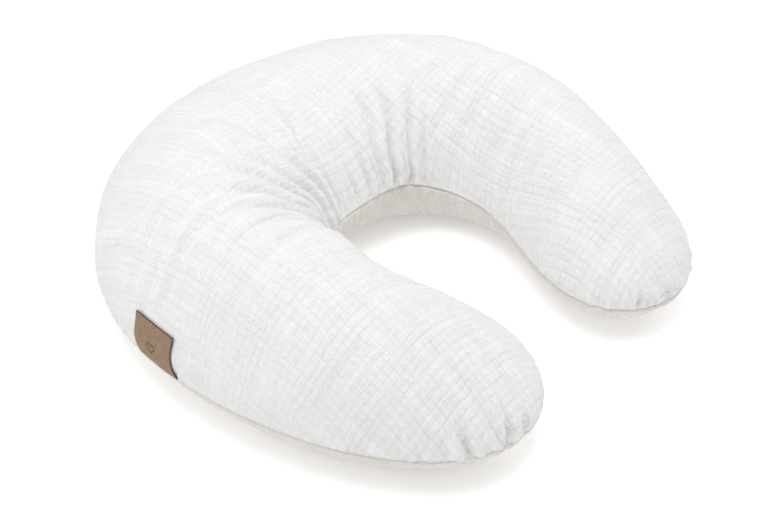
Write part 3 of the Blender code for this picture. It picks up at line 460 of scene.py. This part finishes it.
def tucks(grid):
    """Tucks where the cloth is sewn together shorter than it was cut, round the arms' tips."""
    total = np.zeros_like(grid.rim_gap)
    near_seam = np.where(grid.rim_gap < 0.003)
    spots = grid.points[near_seam][:, :2]
    for (x, y), length, depth, width, lean in TUCKS:
        at = grid.rim_at[near_seam][np.argmin(np.hypot(spots[:, 0] - x, spots[:, 1] - y))]
        gap = grid.rim_gap
        off = grid.rim_at - at - lean * gap
        fade = smoothstep(gap / 0.003) * (1.0 - smoothstep(gap / length))
        fold = bump_of(off, width) - 0.55 * bump_of(np.abs(off) - 2.0 * width, 1.2 * width)
        total -= depth * fade * fold
    return total if grid.top else TUCKS_BELOW * total


def bulges(grid):
    """Where the filling pushes out further than the plain sections do."""
    total = np.zeros_like(grid.from_inner)
    for on_top, place, up, reach_along, reach_up, height in BULGES:
        if on_top == grid.top:
            total += (height * bump_of(grid.inner_run[:, None] - place, reach_along)
                      * bump_of(grid.from_inner - up, reach_up))
    return total


def seam_profile(gap):
    """The stuffed edge next to the seam: a slight lip, then down into the stitching."""
    return (SEAM_LIP_HEIGHT * bump_of(gap - SEAM_LIP_AT, SEAM_LIP_WIDTH)
            - SEAM_GROOVE * bump_of(gap, SEAM_GROOVE_WIDTH))


def gauze_coordinates(grid):
    """The flat cut's coordinates in crinkle squares, wandering as crinkled cloth does."""
    flat = grid.flat
    drift, jitter = (
        np.stack([noise(flat / size, seed), noise(flat / size, seed + 1)], axis=-1) * far
        for (far, size), seed in ((CLOTH_DRIFT, 41), (CLOTH_JITTER, 43)))
    spaced = (flat + drift + jitter) / GAUZE_CELL
    uneven = [noise(np.stack([spaced[..., axis] / 1.7, spaced[..., 1 - axis] / 16.0], axis=-1),
                    45 + axis) for axis in (0, 1)]
    return spaced + UNEVEN_SPACING * np.stack(uneven, axis=-1)


def line_depths(cells, axis, seed):
    """How deep the crinkle lines square to one axis are: uneven, and lost here and there."""
    other = 1 - axis
    index = np.round(cells[..., axis])
    place = np.stack([index * 1.7, cells[..., other] / 2.2], axis=-1)
    run = np.stack([index * 2.3, cells[..., other] / 9.0], axis=-1)
    return np.clip(0.55 + 0.55 * noise(place, seed) + 0.55 * noise(run, seed + 1), 0.04, 1.4)


def crinkle_lines(cells, sharpness, seed):
    """Valleys along both directions of the weave, from 0 to about 1."""
    lines = np.abs(np.sin(math.pi * cells))
    one = line_depths(cells, 0, seed) * (1.0 - lines[..., 0]) ** sharpness
    two = line_depths(cells, 1, seed + 3) * (1.0 - lines[..., 1]) ** sharpness
    return one + two - 0.5 * one * two


def crinkle(cells):
    """Puffs and the valleys between them, from about -1 to 1."""
    slivers = noise(cells * np.array([0.7, 1.9]), 57) + noise(cells * np.array([1.9, 0.7]), 58)
    fine = crinkle_lines(cells * FINE_LINES + 0.4, 1.0, 71)
    pebbles = noise(cells * 2.9, 59)
    return (0.36 + 0.20 * slivers + 0.17 * pebbles - 0.22 * fine
            - 0.92 * crinkle_lines(cells, 1.6, 51))


def creased(grid):
    """The panel's points with every fold, gather, lump and crinkle."""
    flat = grid.flat
    lumps = LUMP_HEIGHT * noise(flat / LUMP_SIZE, 61) + DIMPLE_HEIGHT * noise(flat / DIMPLE_SIZE, 62)
    away = smoothstep(grid.rim_gap / 0.030)
    height = lumps * away + seam_gathers(grid) + bulges(grid) + tucks(grid)
    if grid.top:
        height += notch_folds(grid)
    grid.cells = gauze_coordinates(grid)
    soften = smoothstep(grid.rim_gap / 0.004)
    height += CRINKLE_HEIGHT * crinkle(grid.cells) * soften
    height = (height + seam_profile(grid.rim_gap)) * (1.0 - label_print(grid))
    height = calmed_by_zip(grid, height)
    pole_fade = smoothstep(grid.tip_gap / 0.004)
    points = grid.points + grid.normals * (height * pole_fade)[..., None]
    points[..., 2] += (SEAM_RISE * bump_of(grid.inner_run[:, None] - SEAM_RISE_AT, SEAM_RISE_REACH)
                       * bump_of(grid.from_inner, SEAM_RISE_FADE))
    points[..., 2] = np.maximum(points[..., 2], 0.0)
    return points


# ------------------------ meshes
def new_object(name, points, faces, material, smooth=True):
    mesh = bpy.data.meshes.new(name)
    mesh.from_pydata([tuple(p) for p in points], [], faces)
    mesh.materials.append(material)
    if smooth:
        mesh.shade_smooth()
    mesh.update()
    piece = bpy.data.objects.new(name, mesh)
    bpy.context.scene.collection.objects.link(piece)
    return piece


def flat_inward(loop):
    """Level unit directions into the panel, square to its outline."""
    following = np.roll(loop, -1, axis=0)
    ahead = following - np.roll(loop, 1, axis=0)
    area = (loop[:, 0] * following[:, 1] - loop[:, 1] * following[:, 0]).sum()
    inward = np.column_stack([-ahead[:, 1], ahead[:, 0], np.zeros(len(loop))]) * np.sign(area)
    return inward / np.linalg.norm(inward, axis=1, keepdims=True)


def strip_quads(one, two):
    """Quads between two closed loops of vertex numbers."""
    return [(one[k], one[(k + 1) % len(one)], two[(k + 1) % len(two)], two[k])
            for k in range(len(one))]


def panel_object(name, grid, points, material):
    """A sewn panel: its creased skin and the edge that is turned in at the seam."""
    count, across = points.shape[0] - 2, points.shape[1]
    poles = points[[0, -1], 0]
    rim = rim_of(points, poles)
    turned = rim + flat_inward(rim) * SEAM_ALLOWANCE
    verts = np.vstack([points[1:-1].reshape(-1, 3), poles, turned])
    skin = count * across
    faces = []
    for i in range(count - 1):
        for j in range(across - 1):
            a = i * across + j
            faces.append((a, a + 1, a + across + 1, a + across))
    last = (count - 1) * across
    for j in range(across - 1):
        faces.append((skin, j + 1, j))
        faces.append((skin + 1, last + j, last + j + 1))
    outline = [i * across for i in range(count)] + [skin + 1]
    outline += [i * across + across - 1 for i in reversed(range(count))] + [skin]
    edge = list(range(skin + 2, skin + 2 + len(rim)))
    faces += strip_quads(outline, edge)
    if not grid.top:
        faces = [tuple(reversed(face)) for face in faces]
    piece = new_object(name, verts, faces, material)
    cells = np.vstack([grid.cells[1:-1].reshape(-1, 2), grid.cells[[0, -1], 0],
                       rim_of(grid.cells, grid.cells[[0, -1], 0])])
    add_coordinates(piece, "weave", cells)
    return piece


def add_coordinates(piece, layer_name, values):
    """Store a pair of numbers per vertex as a coordinate layer."""
    mesh = piece.data
    corner = np.empty(len(mesh.loops), dtype=np.int64)
    mesh.loops.foreach_get("vertex_index", corner)
    layer = mesh.uv_layers.new(name=layer_name)
    layer.data.foreach_set("uv", values[corner].astype(np.float32).ravel())


# ------------------------ label
LABEL_Y = 0.0285
LABEL_LENGTH = 0.060
LABEL_HEIGHT = 0.047
LABEL_THICKNESS = 0.0012
LABEL_CLEARANCE = 0.0008  # between the label and the cloth behind it
LABEL_FOOT = 0.0012  # the label starts this far up from the seam
SMOOTH_BELOW_LABEL = 0.030  # the bottom panel is smooth this far down from the seam there
ZIP_CALM = 0.014  # and both panels are smooth this far from the zip's slit
ZIP_CALM_PAST_DEG = 4.0  # and past its ends, where the pull tab lies
LABEL_SEARCH = (-0.75, -0.15)  # the label lies between these places on the centre line


def label_middle(grid):
    """Where along the outer seam the label's middle is."""
    side = (grid.sec.s > LABEL_SEARCH[0]) & (grid.sec.s < LABEL_SEARCH[1])
    return np.interp(LABEL_Y, grid.points[side, 0, 1], grid.outer_run[side])


def label_print(grid):
    """Where the label presses the cloth smooth: 1 under it, 0 away from it."""
    reach = LABEL_LENGTH / 2.0 + (0.0 if grid.top else LABEL_FLARE)
    beside = 1.0 - smoothstep((np.abs(grid.outer_run - label_middle(grid)) - reach) / 0.006)
    covered = LABEL_FOOT + LABEL_HEIGHT if grid.top else SMOOTH_BELOW_LABEL
    above = 1.0 - smoothstep((grid.from_outer - covered) / 0.006)
    return beside[:, None] * above


def calmed_by_zip(grid, height):
    """Folds and crinkles kept off the zip: no higher than the plain wall next to its slit."""
    along = 1.0 - smoothstep((degrees_past_zip(grid.sec) - ZIP_CALM_PAST_DEG) / 1.5)
    calm = along[:, None] * (1.0 - smoothstep((grid.from_outer - ZIP_CALM) / 0.010))
    return height * (1.0 - calm) + calm * np.clip(height, -0.0004, 0.0)


LABEL_ALONG = 144  # mesh steps along the seam and up the label
LABEL_UP = 112
LABEL_FLARE = 0.0058  # the front corner spreads this far along the seam
LABEL_WAIST = 0.0028  # and the front edge is drawn in this much above it
LABEL_REAR_ROUND = 0.0075  # the rear corner is rounded off by this much at the foot
MOTIF_AT = (0.002, 0.018)  # middle of the engraved heart, on the label
MOTIF_SIZE = 0.0060
HEART_LINE = 0.085  # half the engraved line's width, in heart sizes
ENGRAVED = 0.0003


def point_on_wall(grid, along, up):
    """Points and normals on a panel's smooth wall, from distances along and up from its seam."""
    rows = np.interp(along, grid.outer_run, np.arange(len(grid.outer_run)))
    low = np.clip(rows.astype(int), 0, len(grid.outer_run) - 2)
    share = (rows - low)[..., None]
    found = []
    for values in (grid.points, grid.normals):
        pair = []
        for row in (low, low + 1):
            flat_rows, flat_up = row.ravel(), up.ravel()
            out = np.array([[np.interp(h, grid.from_outer[r], values[r, :, axis]) for axis in range(3)]
                            for r, h in zip(flat_rows, flat_up)])
            pair.append(out.reshape(row.shape + (3,)))
        found.append(pair[0] * (1.0 - share) + pair[1] * share)
    return found


def heart(x, y):
    """1 on the outline of a plain heart about 2 wide, 0 away from it."""
    turn = np.linspace(0.0, 2.0 * math.pi, 160)
    outline_x = np.sin(turn) ** 3
    outline_y = (13.0 * np.cos(turn) - 5.0 * np.cos(2.0 * turn) - 2.0 * np.cos(3.0 * turn)
                 - np.cos(4.0 * turn)) / 16.0
    distance = np.hypot(x[..., None] - outline_x, y[..., None] - outline_y).min(axis=-1)
    return 1.0 - smoothstep((distance - HEART_LINE) / HEART_LINE)


def build_label(grid):
    """The leatherette label: sewn in along its foot, lying up against the cloth."""
    across, up = np.broadcast_arrays(
        np.linspace(-0.5, 0.5, LABEL_ALONG + 1)[:, None] * LABEL_LENGTH,
        np.linspace(0.0, LABEL_HEIGHT, LABEL_UP + 1)[None, :])
    plan = np.stack([across, up], axis=-1)
    rise = up / LABEL_HEIGHT
    front = smoothstep((-across / LABEL_LENGTH + 0.5 - 0.45) / 0.55)
    spread = LABEL_FLARE * (1.0 - rise / 0.5).clip(0.0) ** 1.5
    drawn_in = LABEL_WAIST * np.sin(math.pi * np.clip(rise, 0.0, 1.0)) * (1.0 - 0.3 * rise)
    rear = smoothstep((across / LABEL_LENGTH - 0.1) / 0.4)
    rounded = LABEL_REAR_ROUND * (1.0 - rise / 0.35).clip(0.0) ** 1.6
    place = across - front * (spread - drawn_in) - rear * rounded
    points, normals = point_on_wall(grid, label_middle(grid) + place, LABEL_FOOT + up)
    curl = 0.0012 * smoothstep((rise - 0.75) / 0.25) * np.abs(2.0 * across / LABEL_LENGTH) ** 2
    mark = heart(-(across - MOTIF_AT[0]) / MOTIF_SIZE, (up - MOTIF_AT[1]) / MOTIF_SIZE)
    wave = 0.0002 * noise(plan / 0.012, 71)
    lift = LABEL_CLEARANCE + curl + wave
    near = points + normals * lift[..., None]
    far = points + normals * (lift + LABEL_THICKNESS - ENGRAVED * mark)[..., None]
    verts, faces = slab(near, far)
    piece = new_object("label", verts, faces, leatherette_material())
    add_coordinates(piece, "label", np.tile(plan.reshape(-1, 2), (2, 1)))
    add_coordinates(piece, "mark", np.tile(np.stack([mark, mark], axis=-1).reshape(-1, 2), (2, 1)))
    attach(piece, "label")
    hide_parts("side_label")


def slab(near, far):
    """A closed sheet between two grids of points of the same size."""
    rows, cols = near.shape[:2]
    size = rows * cols
    faces = []
    for i in range(rows - 1):
        for j in range(cols - 1):
            a = i * cols + j
            faces.append((a, a + cols, a + cols + 1, a + 1))
            faces.append((a + size, a + size + 1, a + size + cols + 1, a + size + cols))
    rim = list(range(cols)) + [i * cols + cols - 1 for i in range(1, rows)]
    rim += [(rows - 1) * cols + j for j in range(cols - 2, -1, -1)]
    rim += [i * cols for i in range(rows - 2, 0, -1)]
    for k, here in enumerate(rim):
        there = rim[(k + 1) % len(rim)]
        faces.append((here, there, there + size, here + size))
    return np.vstack([near.reshape(-1, 3), far.reshape(-1, 3)]), faces


# ------------------------ zip
COIL_Z = 0.0016
COIL_DEPTH = 0.0019
COIL_HALF_HEIGHT = 0.00075
COIL_HALF_DEPTH = 0.00055
COIL_WIRE = 0.00026
COIL_PITCH = 0.0014
ZIP_STOP_DEG = 1.2
COIL_TURN_POINTS = 10
WIRE_SIDES = 6


def zip_coil(name, node, side, material):
    """A row of zip teeth: a nylon wire wound into a flat coil along the zip's arc."""
    start, end = ZIP_START_DEG + ZIP_STOP_DEG, ZIP_END_DEG - ZIP_STOP_DEG
    turns = round(math.radians(end - start) * ZIP_RADIUS / COIL_PITCH)
    share = np.linspace(0.0, 1.0, turns * COIL_TURN_POINTS + 1)
    bearing = np.radians(start + (end - start) * share)
    phase = 2.0 * math.pi * turns * share
    out = np.stack([np.cos(bearing), np.sin(bearing), 0.0 * bearing], axis=1)
    radius = ZIP_RADIUS - COIL_DEPTH + COIL_HALF_DEPTH * np.cos(phase)
    route = out * radius[:, None] + [MIDDLE_X, ZIP_CENTRE_Y, OUTER_SEAM_Z + side * COIL_Z]
    route[:, 2] += COIL_HALF_HEIGHT * np.sin(phase)
    verts, faces = tube(route, COIL_WIRE, WIRE_SIDES)
    piece = new_object(name, verts, faces, material)
    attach(piece, "pillow")
    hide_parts(node)


def tube(route, radius, sides):
    """A closed tube along a route of points."""
    ahead = np.gradient(route, axis=0)
    ahead /= np.linalg.norm(ahead, axis=1, keepdims=True)
    right = np.cross(ahead, [0.30, 0.20, 0.93])
    right /= np.linalg.norm(right, axis=1, keepdims=True)
    above = np.cross(right, ahead)
    turn = np.arange(sides) * 2.0 * math.pi / sides
    ring = np.cos(turn)[None, :, None] * right[:, None] + np.sin(turn)[None, :, None] * above[:, None]
    verts = (route[:, None] + radius * ring).reshape(-1, 3)
    faces = []
    for i in range(len(route) - 1):
        for k in range(sides):
            n = (k + 1) % sides
            faces.append((i * sides + k, (i + 1) * sides + k, (i + 1) * sides + n, i * sides + n))
    last = (len(route) - 1) * sides
    faces.append(tuple(range(sides)))
    faces.append(tuple(last + k for k in reversed(range(sides))))
    return verts, faces


# ------------------------ inner bag and filling
INNER_STATIONS = 200
INNER_COLUMNS = 48
INNER_TIP_SHARE = 0.030  # the inner pieces stop this far short of the arms' tips
LINER_DEPTH = 0.0075
FILLING_DEPTH = 0.0100
SEAM_DENT = 0.0065
SEAM_DENT_REACH = 0.022


def pushed_in(grid, depth):
    """A panel's surface pushed in by a depth, and further behind the seams."""
    push = depth + SEAM_DENT * bump_of(grid.rim_gap, SEAM_DENT_REACH)
    level = grid.normals.copy()
    level[:, [0, -1], 2] = 0.0
    level /= np.linalg.norm(level, axis=2, keepdims=True)
    return grid.points - level * push[..., None]


def build_inside():
    """The inner bag's two panels and the fibre filling, hidden inside the cover."""
    s = even_stations(INNER_STATIONS)
    sec = sections(s[np.abs(s) < 1.0 - INNER_TIP_SHARE])
    cotton = plain_cloth_material("liner_cotton_looks", (0.80, 0.79, 0.77), 420.0)
    fibre = fibre_material()
    sides = [make_grid(sec, top, INNER_COLUMNS) for top in (True, False)]
    for grid, name in zip(sides, ("liner_top_panel", "liner_bottom_panel")):
        points = pushed_in(grid, LINER_DEPTH)
        verts, faces = slab(points - grid.normals * 0.0008, points)
        piece = new_object(name.replace("_panel", ""), verts, faces, cotton)
        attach(piece, "pillow")
        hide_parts(name)
    over, under = (pushed_in(grid, FILLING_DEPTH) for grid in sides)
    around = np.concatenate([over, under[:, -2:0:-1]], axis=1)
    verts, faces = closed_tube_of(around)
    piece = new_object("filling", verts, faces, fibre)
    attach(piece, "pillow")
    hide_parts("fibre_filling")


def closed_tube_of(rings):
    """A closed body from a row of rings, with a flat end at each side."""
    count, around = rings.shape[:2]
    faces = []
    for i in range(count - 1):
        for j in range(around):
            n = (j + 1) % around
            a, b = i * around + j, i * around + n
            faces.append((a, b, b + around, a + around))
    faces.append(tuple(reversed(range(around))))
    faces.append(tuple((count - 1) * around + j for j in range(around)))
    return rings.reshape(-1, 3), faces


# ------------------------ materials
LEATHER = (0.27, 0.177, 0.107)
SCORCHED = (0.045, 0.028, 0.018)
# The dark end of each muslin ramp is partly painted shade in the crinkle valleys and partly the
# cloth's own random mottle.
MUSLIN_TOP = ((0.87, 0.87, 0.865), (0.715, 0.715, 0.71))  # on the puffs, in the valleys
# The bottom panel is the same muslin as the top; its darker, warmer colours are painted shade.
MUSLIN_BOTTOM_PAINTED_SHADE = ((0.775, 0.742, 0.700), (0.61, 0.577, 0.535))
THREADS_PER_SQUARE = 13.0


def shader_of(name, colour, roughness, **sockets):
    """A Principled material with constant values set on its own sockets."""
    material = bpy.data.materials.new(name)
    material.use_nodes = True
    shader = material.node_tree.nodes["Principled BSDF"]
    shader.inputs["Base Color"].default_value = (*colour, 1.0)
    shader.inputs["Roughness"].default_value = roughness
    for socket, value in sockets.items():
        shader.inputs[socket.replace("_", " ")].default_value = value
    return material, material.node_tree, shader


def math_node(tree, operation, first, second=None):
    """The output of one math node; each value is a number or another node's output."""
    node = tree.nodes.new("ShaderNodeMath")
    node.operation = operation
    for socket, value in zip(node.inputs, (first, second)):
        if value is None:
            continue
        if isinstance(value, (int, float)):
            socket.default_value = value
        else:
            tree.links.new(value, socket)
    return node.outputs[0]


def times(tree, first, second):
    return math_node(tree, "MULTIPLY", first, second)


def plus(tree, first, second):
    return math_node(tree, "ADD", first, second)



def muslin_material(name, light, dark):
    """White double gauze: crinkle lines in both directions over a fine plain weave, with painted shade
    darkening the crinkle valleys.
    """
    material, tree, shader = shader_of(name, light, 0.95, Sheen_Weight=0.25, Sheen_Roughness=0.6)
    place = stored_coordinates(tree, "weave")
    split = parts_of(tree, place)
    valleys, fine_valleys, threads = [], [], []
    for axis in ("X", "Y"):
        wave = math_node(tree, "SINE", times(tree, split[axis], math.pi))
        away = math_node(tree, "SUBTRACT", 1.0, math_node(tree, "ABSOLUTE", wave))
        valleys.append(math_node(tree, "POWER", away, 1.8))
        phase = times(tree, split[axis], math.pi * FINE_LINES)
        fine_wave = math_node(tree, "SINE", plus(tree, phase, 1.2))
        away = math_node(tree, "SUBTRACT", 1.0, math_node(tree, "ABSOLUTE", fine_wave))
        fine_valleys.append(math_node(tree, "POWER", away, 1.5))
        turns = times(tree, split[axis], 2.0 * math.pi * THREADS_PER_SQUARE)
        threads.append(math_node(tree, "SINE", turns))
    mottle = noise_node(tree, place, 1.3, 5.0)
    lines = math_node(tree, "MAXIMUM", valleys[0], valleys[1])
    uneven = times(tree, lines, mottle)
    speckle = times(tree, plus(tree, threads[0], threads[1]), 0.05)
    broken = noise_node(tree, place, 1.9, 2.0)
    fine = times(tree, broken, plus(tree, fine_valleys[0], fine_valleys[1]))
    amount = plus(tree, times(tree, uneven, 0.62), speckle)
    amount = plus(tree, amount, times(tree, fine, 0.26))
    amount = plus(tree, amount, times(tree, mottle, 0.28))
    pebbles = noise_node(tree, place, 3.1, 3.0)
    amount = plus(tree, amount, times(tree, pebbles, -0.35))
    amount = plus(tree, amount, 0.10)
    # painted shade: the crinkle valleys and fine lines are coloured darker; the mottle, pebbles and
    # threads are the cloth's own tone
    tint(tree, shader, colour_ramp(tree, amount, light, dark))
    weave = times(tree, times(tree, threads[0], threads[1]), 0.10)
    puff = plus(tree, times(tree, uneven, -0.35), times(tree, fine, -0.55))
    fluff = plus(tree, times(tree, mottle, 0.4), times(tree, pebbles, 1.1))
    bump_from(tree, shader, plus(tree, plus(tree, weave, puff), fluff), 0.75, 0.0011)
    return material


def noise_node(tree, vector, scale, detail):
    node = tree.nodes.new("ShaderNodeTexNoise")
    node.inputs["Scale"].default_value = scale
    node.inputs["Detail"].default_value = detail
    tree.links.new(vector, node.inputs["Vector"])
    return node.outputs["Fac"]


def stored_coordinates(tree, layer_name):
    """The numbers that add_coordinates stored on the mesh."""
    node = tree.nodes.new("ShaderNodeUVMap")
    node.uv_map = layer_name
    return node.outputs["UV"]


def parts_of(tree, vector):
    """A vector's X, Y and Z outputs."""
    node = tree.nodes.new("ShaderNodeSeparateXYZ")
    tree.links.new(vector, node.inputs[0])
    return node.outputs


def spread(tree, value, low, high, start=0.0, end=1.0):
    """A value from start to end turned into one from low to high."""
    node = tree.nodes.new("ShaderNodeMapRange")
    for name, number in (("From Min", start), ("From Max", end), ("To Min", low), ("To Max", high)):
        node.inputs[name].default_value = number
    tree.links.new(value, node.inputs["Value"])
    return node.outputs["Result"]


def tint(tree, shader, colour):
    tree.links.new(colour, shader.inputs["Base Color"])


def object_coordinates(tree):
    return tree.nodes.new("ShaderNodeTexCoord").outputs["Object"]


def colour_ramp(tree, amount, first, second, low=0.0, high=1.0):
    ramp = tree.nodes.new("ShaderNodeValToRGB")
    ramp.color_ramp.elements[0].color = (*first, 1.0)
    ramp.color_ramp.elements[1].color = (*second, 1.0)
    ramp.color_ramp.elements[0].position = low
    ramp.color_ramp.elements[1].position = high
    tree.links.new(amount, ramp.inputs["Fac"])
    return ramp.outputs["Color"]


def bump_from(tree, shader, height, strength, distance):
    bump = tree.nodes.new("ShaderNodeBump")
    bump.inputs["Strength"].default_value = strength
    bump.inputs["Distance"].default_value = distance
    tree.links.new(height, bump.inputs["Height"])
    tree.links.new(bump.outputs["Normal"], shader.inputs["Normal"])


def plain_cloth_material(name, colour, per_metre):
    """Plain woven cloth: fine threads both ways and slight mottling."""
    material, tree, shader = shader_of(name, colour, 0.9, Sheen_Weight=0.2)
    place = object_coordinates(tree)
    split = parts_of(tree, place)
    waves = [math_node(tree, "SINE", times(tree, split[axis], 2.0 * math.pi * per_metre))
             for axis in ("X", "Y")]
    weave = times(tree, waves[0], waves[1])
    mottle = noise_node(tree, place, 60.0, 4.0)
    amount = plus(tree, times(tree, weave, 0.12), mottle)
    darker = tuple(0.86 * c for c in colour)
    tint(tree, shader, colour_ramp(tree, amount, darker, colour, 0.2, 0.8))
    bump_from(tree, shader, weave, 0.4, 0.0003)
    return material


def fibre_material():
    """Crimped polyester fibre: white, matt and matted."""
    material, tree, shader = shader_of("hollow_fibre_looks", (0.88, 0.88, 0.87), 1.0, Sheen_Weight=0.4)
    place = object_coordinates(tree)
    strands = noise_node(tree, place, 140.0, 8.0)
    tint(tree, shader, colour_ramp(tree, strands, (0.78, 0.78, 0.77), (0.92, 0.92, 0.91), 0.3, 0.7))
    bump_from(tree, shader, strands, 0.8, 0.002)
    return material


def thread_material():
    """Twisted sewing thread."""
    material, tree, shader = shader_of("sewing_thread_looks", (0.84, 0.84, 0.83), 0.6)
    place = object_coordinates(tree)
    wave = tree.nodes.new("ShaderNodeTexWave")
    wave.inputs["Scale"].default_value = 500.0
    tree.links.new(place, wave.inputs["Vector"])
    tint(tree, shader, colour_ramp(tree, wave.outputs["Fac"], (0.74, 0.74, 0.73), (0.88, 0.88, 0.87)))
    bump_from(tree, shader, wave.outputs["Fac"], 0.5, 0.0002)
    return material


def coil_material():
    """White nylon of the zip's teeth, slightly uneven in tone."""
    material, tree, shader = shader_of("zip_coil_looks", (0.86, 0.86, 0.85), 0.35)
    place = object_coordinates(tree)
    cloud = noise_node(tree, place, 300.0, 3.0)
    tint(tree, shader, colour_ramp(tree, cloud, (0.80, 0.80, 0.78), (0.90, 0.90, 0.89)))
    return material


def metal_material():
    """Nickel-plated zinc with rubbed spots that vary its tone, gloss and surface."""
    material, tree, shader = shader_of("zip_metal_looks", (0.66, 0.66, 0.67), 0.3, Metallic=1.0)
    place = object_coordinates(tree)
    rubbed = noise_node(tree, place, 900.0, 5.0)
    tint(tree, shader, colour_ramp(tree, rubbed, (0.40, 0.40, 0.41), (0.58, 0.58, 0.59), 0.3, 0.7))
    tree.links.new(spread(tree, rubbed, 0.22, 0.42), shader.inputs["Roughness"])
    bump_from(tree, shader, rubbed, 0.15, 0.0002)
    return material


def leatherette_material():
    """Tan leatherette: fine grain, scorched cut edges and a scorched engraved motif."""
    material, tree, shader = shader_of("leatherette_looks", LEATHER, 0.8)
    place = stored_coordinates(tree, "label")
    split = parts_of(tree, place)
    grain = tree.nodes.new("ShaderNodeTexVoronoi")
    grain.inputs["Scale"].default_value = 900.0
    tree.links.new(place, grain.inputs["Vector"])
    cloud = noise_node(tree, place, 130.0, 6.0)
    tone = plus(tree, times(tree, grain.outputs["Distance"], 0.35), times(tree, cloud, 0.75))
    base = colour_ramp(tree, tone, tuple(0.72 * c for c in LEATHER),
                       tuple(1.25 * c for c in LEATHER), 0.25, 0.85)
    from_side = math_node(tree, "SUBTRACT", LABEL_LENGTH / 2.0,
                          math_node(tree, "ABSOLUTE", split["X"]))
    from_top = math_node(tree, "SUBTRACT", LABEL_HEIGHT, split["Y"])
    from_edge = math_node(tree, "MINIMUM", from_side, from_top)
    ragged = plus(tree, from_edge, times(tree, cloud, -0.0008))
    scorch = spread(tree, ragged, 0.9, 0.0, -0.0004, 0.0011)
    engraved = parts_of(tree, stored_coordinates(tree, "mark"))
    burnt = math_node(tree, "MAXIMUM", scorch, times(tree, engraved["X"], 0.8))
    mix = tree.nodes.new("ShaderNodeMix")
    mix.data_type = "RGBA"
    tree.links.new(burnt, mix.inputs["Factor"])
    tree.links.new(base, mix.inputs["A"])
    mix.inputs["B"].default_value = (*SCORCHED, 1.0)
    tint(tree, shader, mix.outputs["Result"])
    bump_from(tree, shader, grain.outputs["Distance"], 0.35, 0.0003)
    return material



# ------------------------ camera, floor and light
CAMERA_AT = (-0.9341, -0.8210, 1.0245)
CAMERA_LOOKS_AT = (-0.0268, -0.0331, 0.0600)
CAMERA_LENS = 67.55
SENSOR_WIDTH = 36.0  # both in millimetres
FLOOR_HALF = 25.0  # large enough to reach the horizon in a low view
FLOOR_BELOW = 0.0003
FLOOR_GLOW = 0.23
SKY_STRENGTH = 0.60
LIGHTS_AIM = (0.0, 0.0, 0.05)
LIGHTS = (("overhead", (-0.30, 0.0, 2.4), 1.7, 29.0),  # name, place, size, watts
          ("left", (-1.6, 0.9, 1.4), 1.4, 6.0),
          ("right", (1.35, -0.70, 1.4), 1.4, 6.5))


def aim(thing, place, target):
    """Put a camera or a lamp in the scene at a place, looking at a target."""
    thing.location = place
    ahead = Vector(target) - Vector(place)
    thing.rotation_euler = ahead.to_track_quat("-Z", "Y").to_euler()
    bpy.context.scene.collection.objects.link(thing)


def make_camera():
    data = bpy.data.cameras.new("camera")
    data.lens = CAMERA_LENS
    data.sensor_width = SENSOR_WIDTH
    camera = bpy.data.objects.new("camera", data)
    aim(camera, CAMERA_AT, CAMERA_LOOKS_AT)
    bpy.context.scene.camera = camera


def make_floor():
    half = FLOOR_HALF
    points = [(-half, -half, 0.0), (half, -half, 0.0), (half, half, 0.0), (-half, half, 0.0)]
    material = shader_of("floor_white", (0.97, 0.97, 0.97), 1.0,
                         Emission_Color=(1.0, 1.0, 1.0, 1.0), Emission_Strength=FLOOR_GLOW)[0]
    floor = new_object("floor", points, [(0, 1, 2, 3)], material, smooth=False)
    floor.location.z = -FLOOR_BELOW


def area_light(name, place, size, power):
    data = bpy.data.lights.new(name, "AREA")
    data.shape = "DISK"
    data.size = size
    data.energy = power
    aim(bpy.data.objects.new(name, data), place, LIGHTS_AIM)


def make_light():
    world = bpy.data.worlds.new("studio")
    bpy.context.scene.world = world
    world.use_nodes = True
    background = world.node_tree.nodes["Background"]
    background.inputs["Color"].default_value = (1.0, 1.0, 1.0, 1.0)
    background.inputs["Strength"].default_value = SKY_STRENGTH
    for light in LIGHTS:
        area_light(*light)
    settings = bpy.context.scene.view_settings
    settings.view_transform = "Standard"
    settings.look = "None"


# ------------------------ build
def build_cover():
    """The cover's two panels; returns the top panel's grid, which the label lies on."""
    sec = sections(even_stations(LENGTH_STATIONS))
    upper = muslin_material("muslin_top", *MUSLIN_TOP)
    # painted shade: the bottom panel's muslin is coloured darker and warmer than the top's
    lower = muslin_material("muslin_bottom_painted_shade", *MUSLIN_BOTTOM_PAINTED_SHADE)
    for name, top, columns, cloth in (("cover_top", True, TOP_COLUMNS, upper),
                                      ("cover_bottom", False, BOTTOM_COLUMNS, lower)):
        grid = make_grid(sec, top, columns)
        piece = panel_object(name, grid, creased(grid), cloth)
        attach(piece, "pillow")
        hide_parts(name + "_panel")
        if top:
            top_grid = grid
    return top_grid


def dress_frame_pieces():
    """Better materials for the zip's and the seams' own pieces of the frame."""
    tape = plain_cloth_material("zip_tape_looks", (0.80, 0.80, 0.79), 900.0)
    thread, metal = thread_material(), metal_material()
    dress = {"zip_tape_upper": tape, "zip_tape_lower": tape, "zip_end_stop_left": metal,
             "zip_end_stop_right": metal, "zip_slider": metal, "zip_pull_tab": metal,
             "outer_seam_stitching_left": thread, "outer_seam_stitching_right": thread,
             "notch_seam_stitching": thread, "liner_seam_stitching": thread}
    for node, material in dress.items():
        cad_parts[node].material_slots[0].material = material
    coil = coil_material()
    zip_coil("zip_coil_upper_teeth", "zip_coil_upper", 1.0, coil)
    zip_coil("zip_coil_lower_teeth", "zip_coil_lower", -1.0, coil)


def main():
    make_camera()
    make_floor()
    make_light()
    top_grid = build_cover()
    build_label(top_grid)
    build_inside()
    dress_frame_pieces()


main()
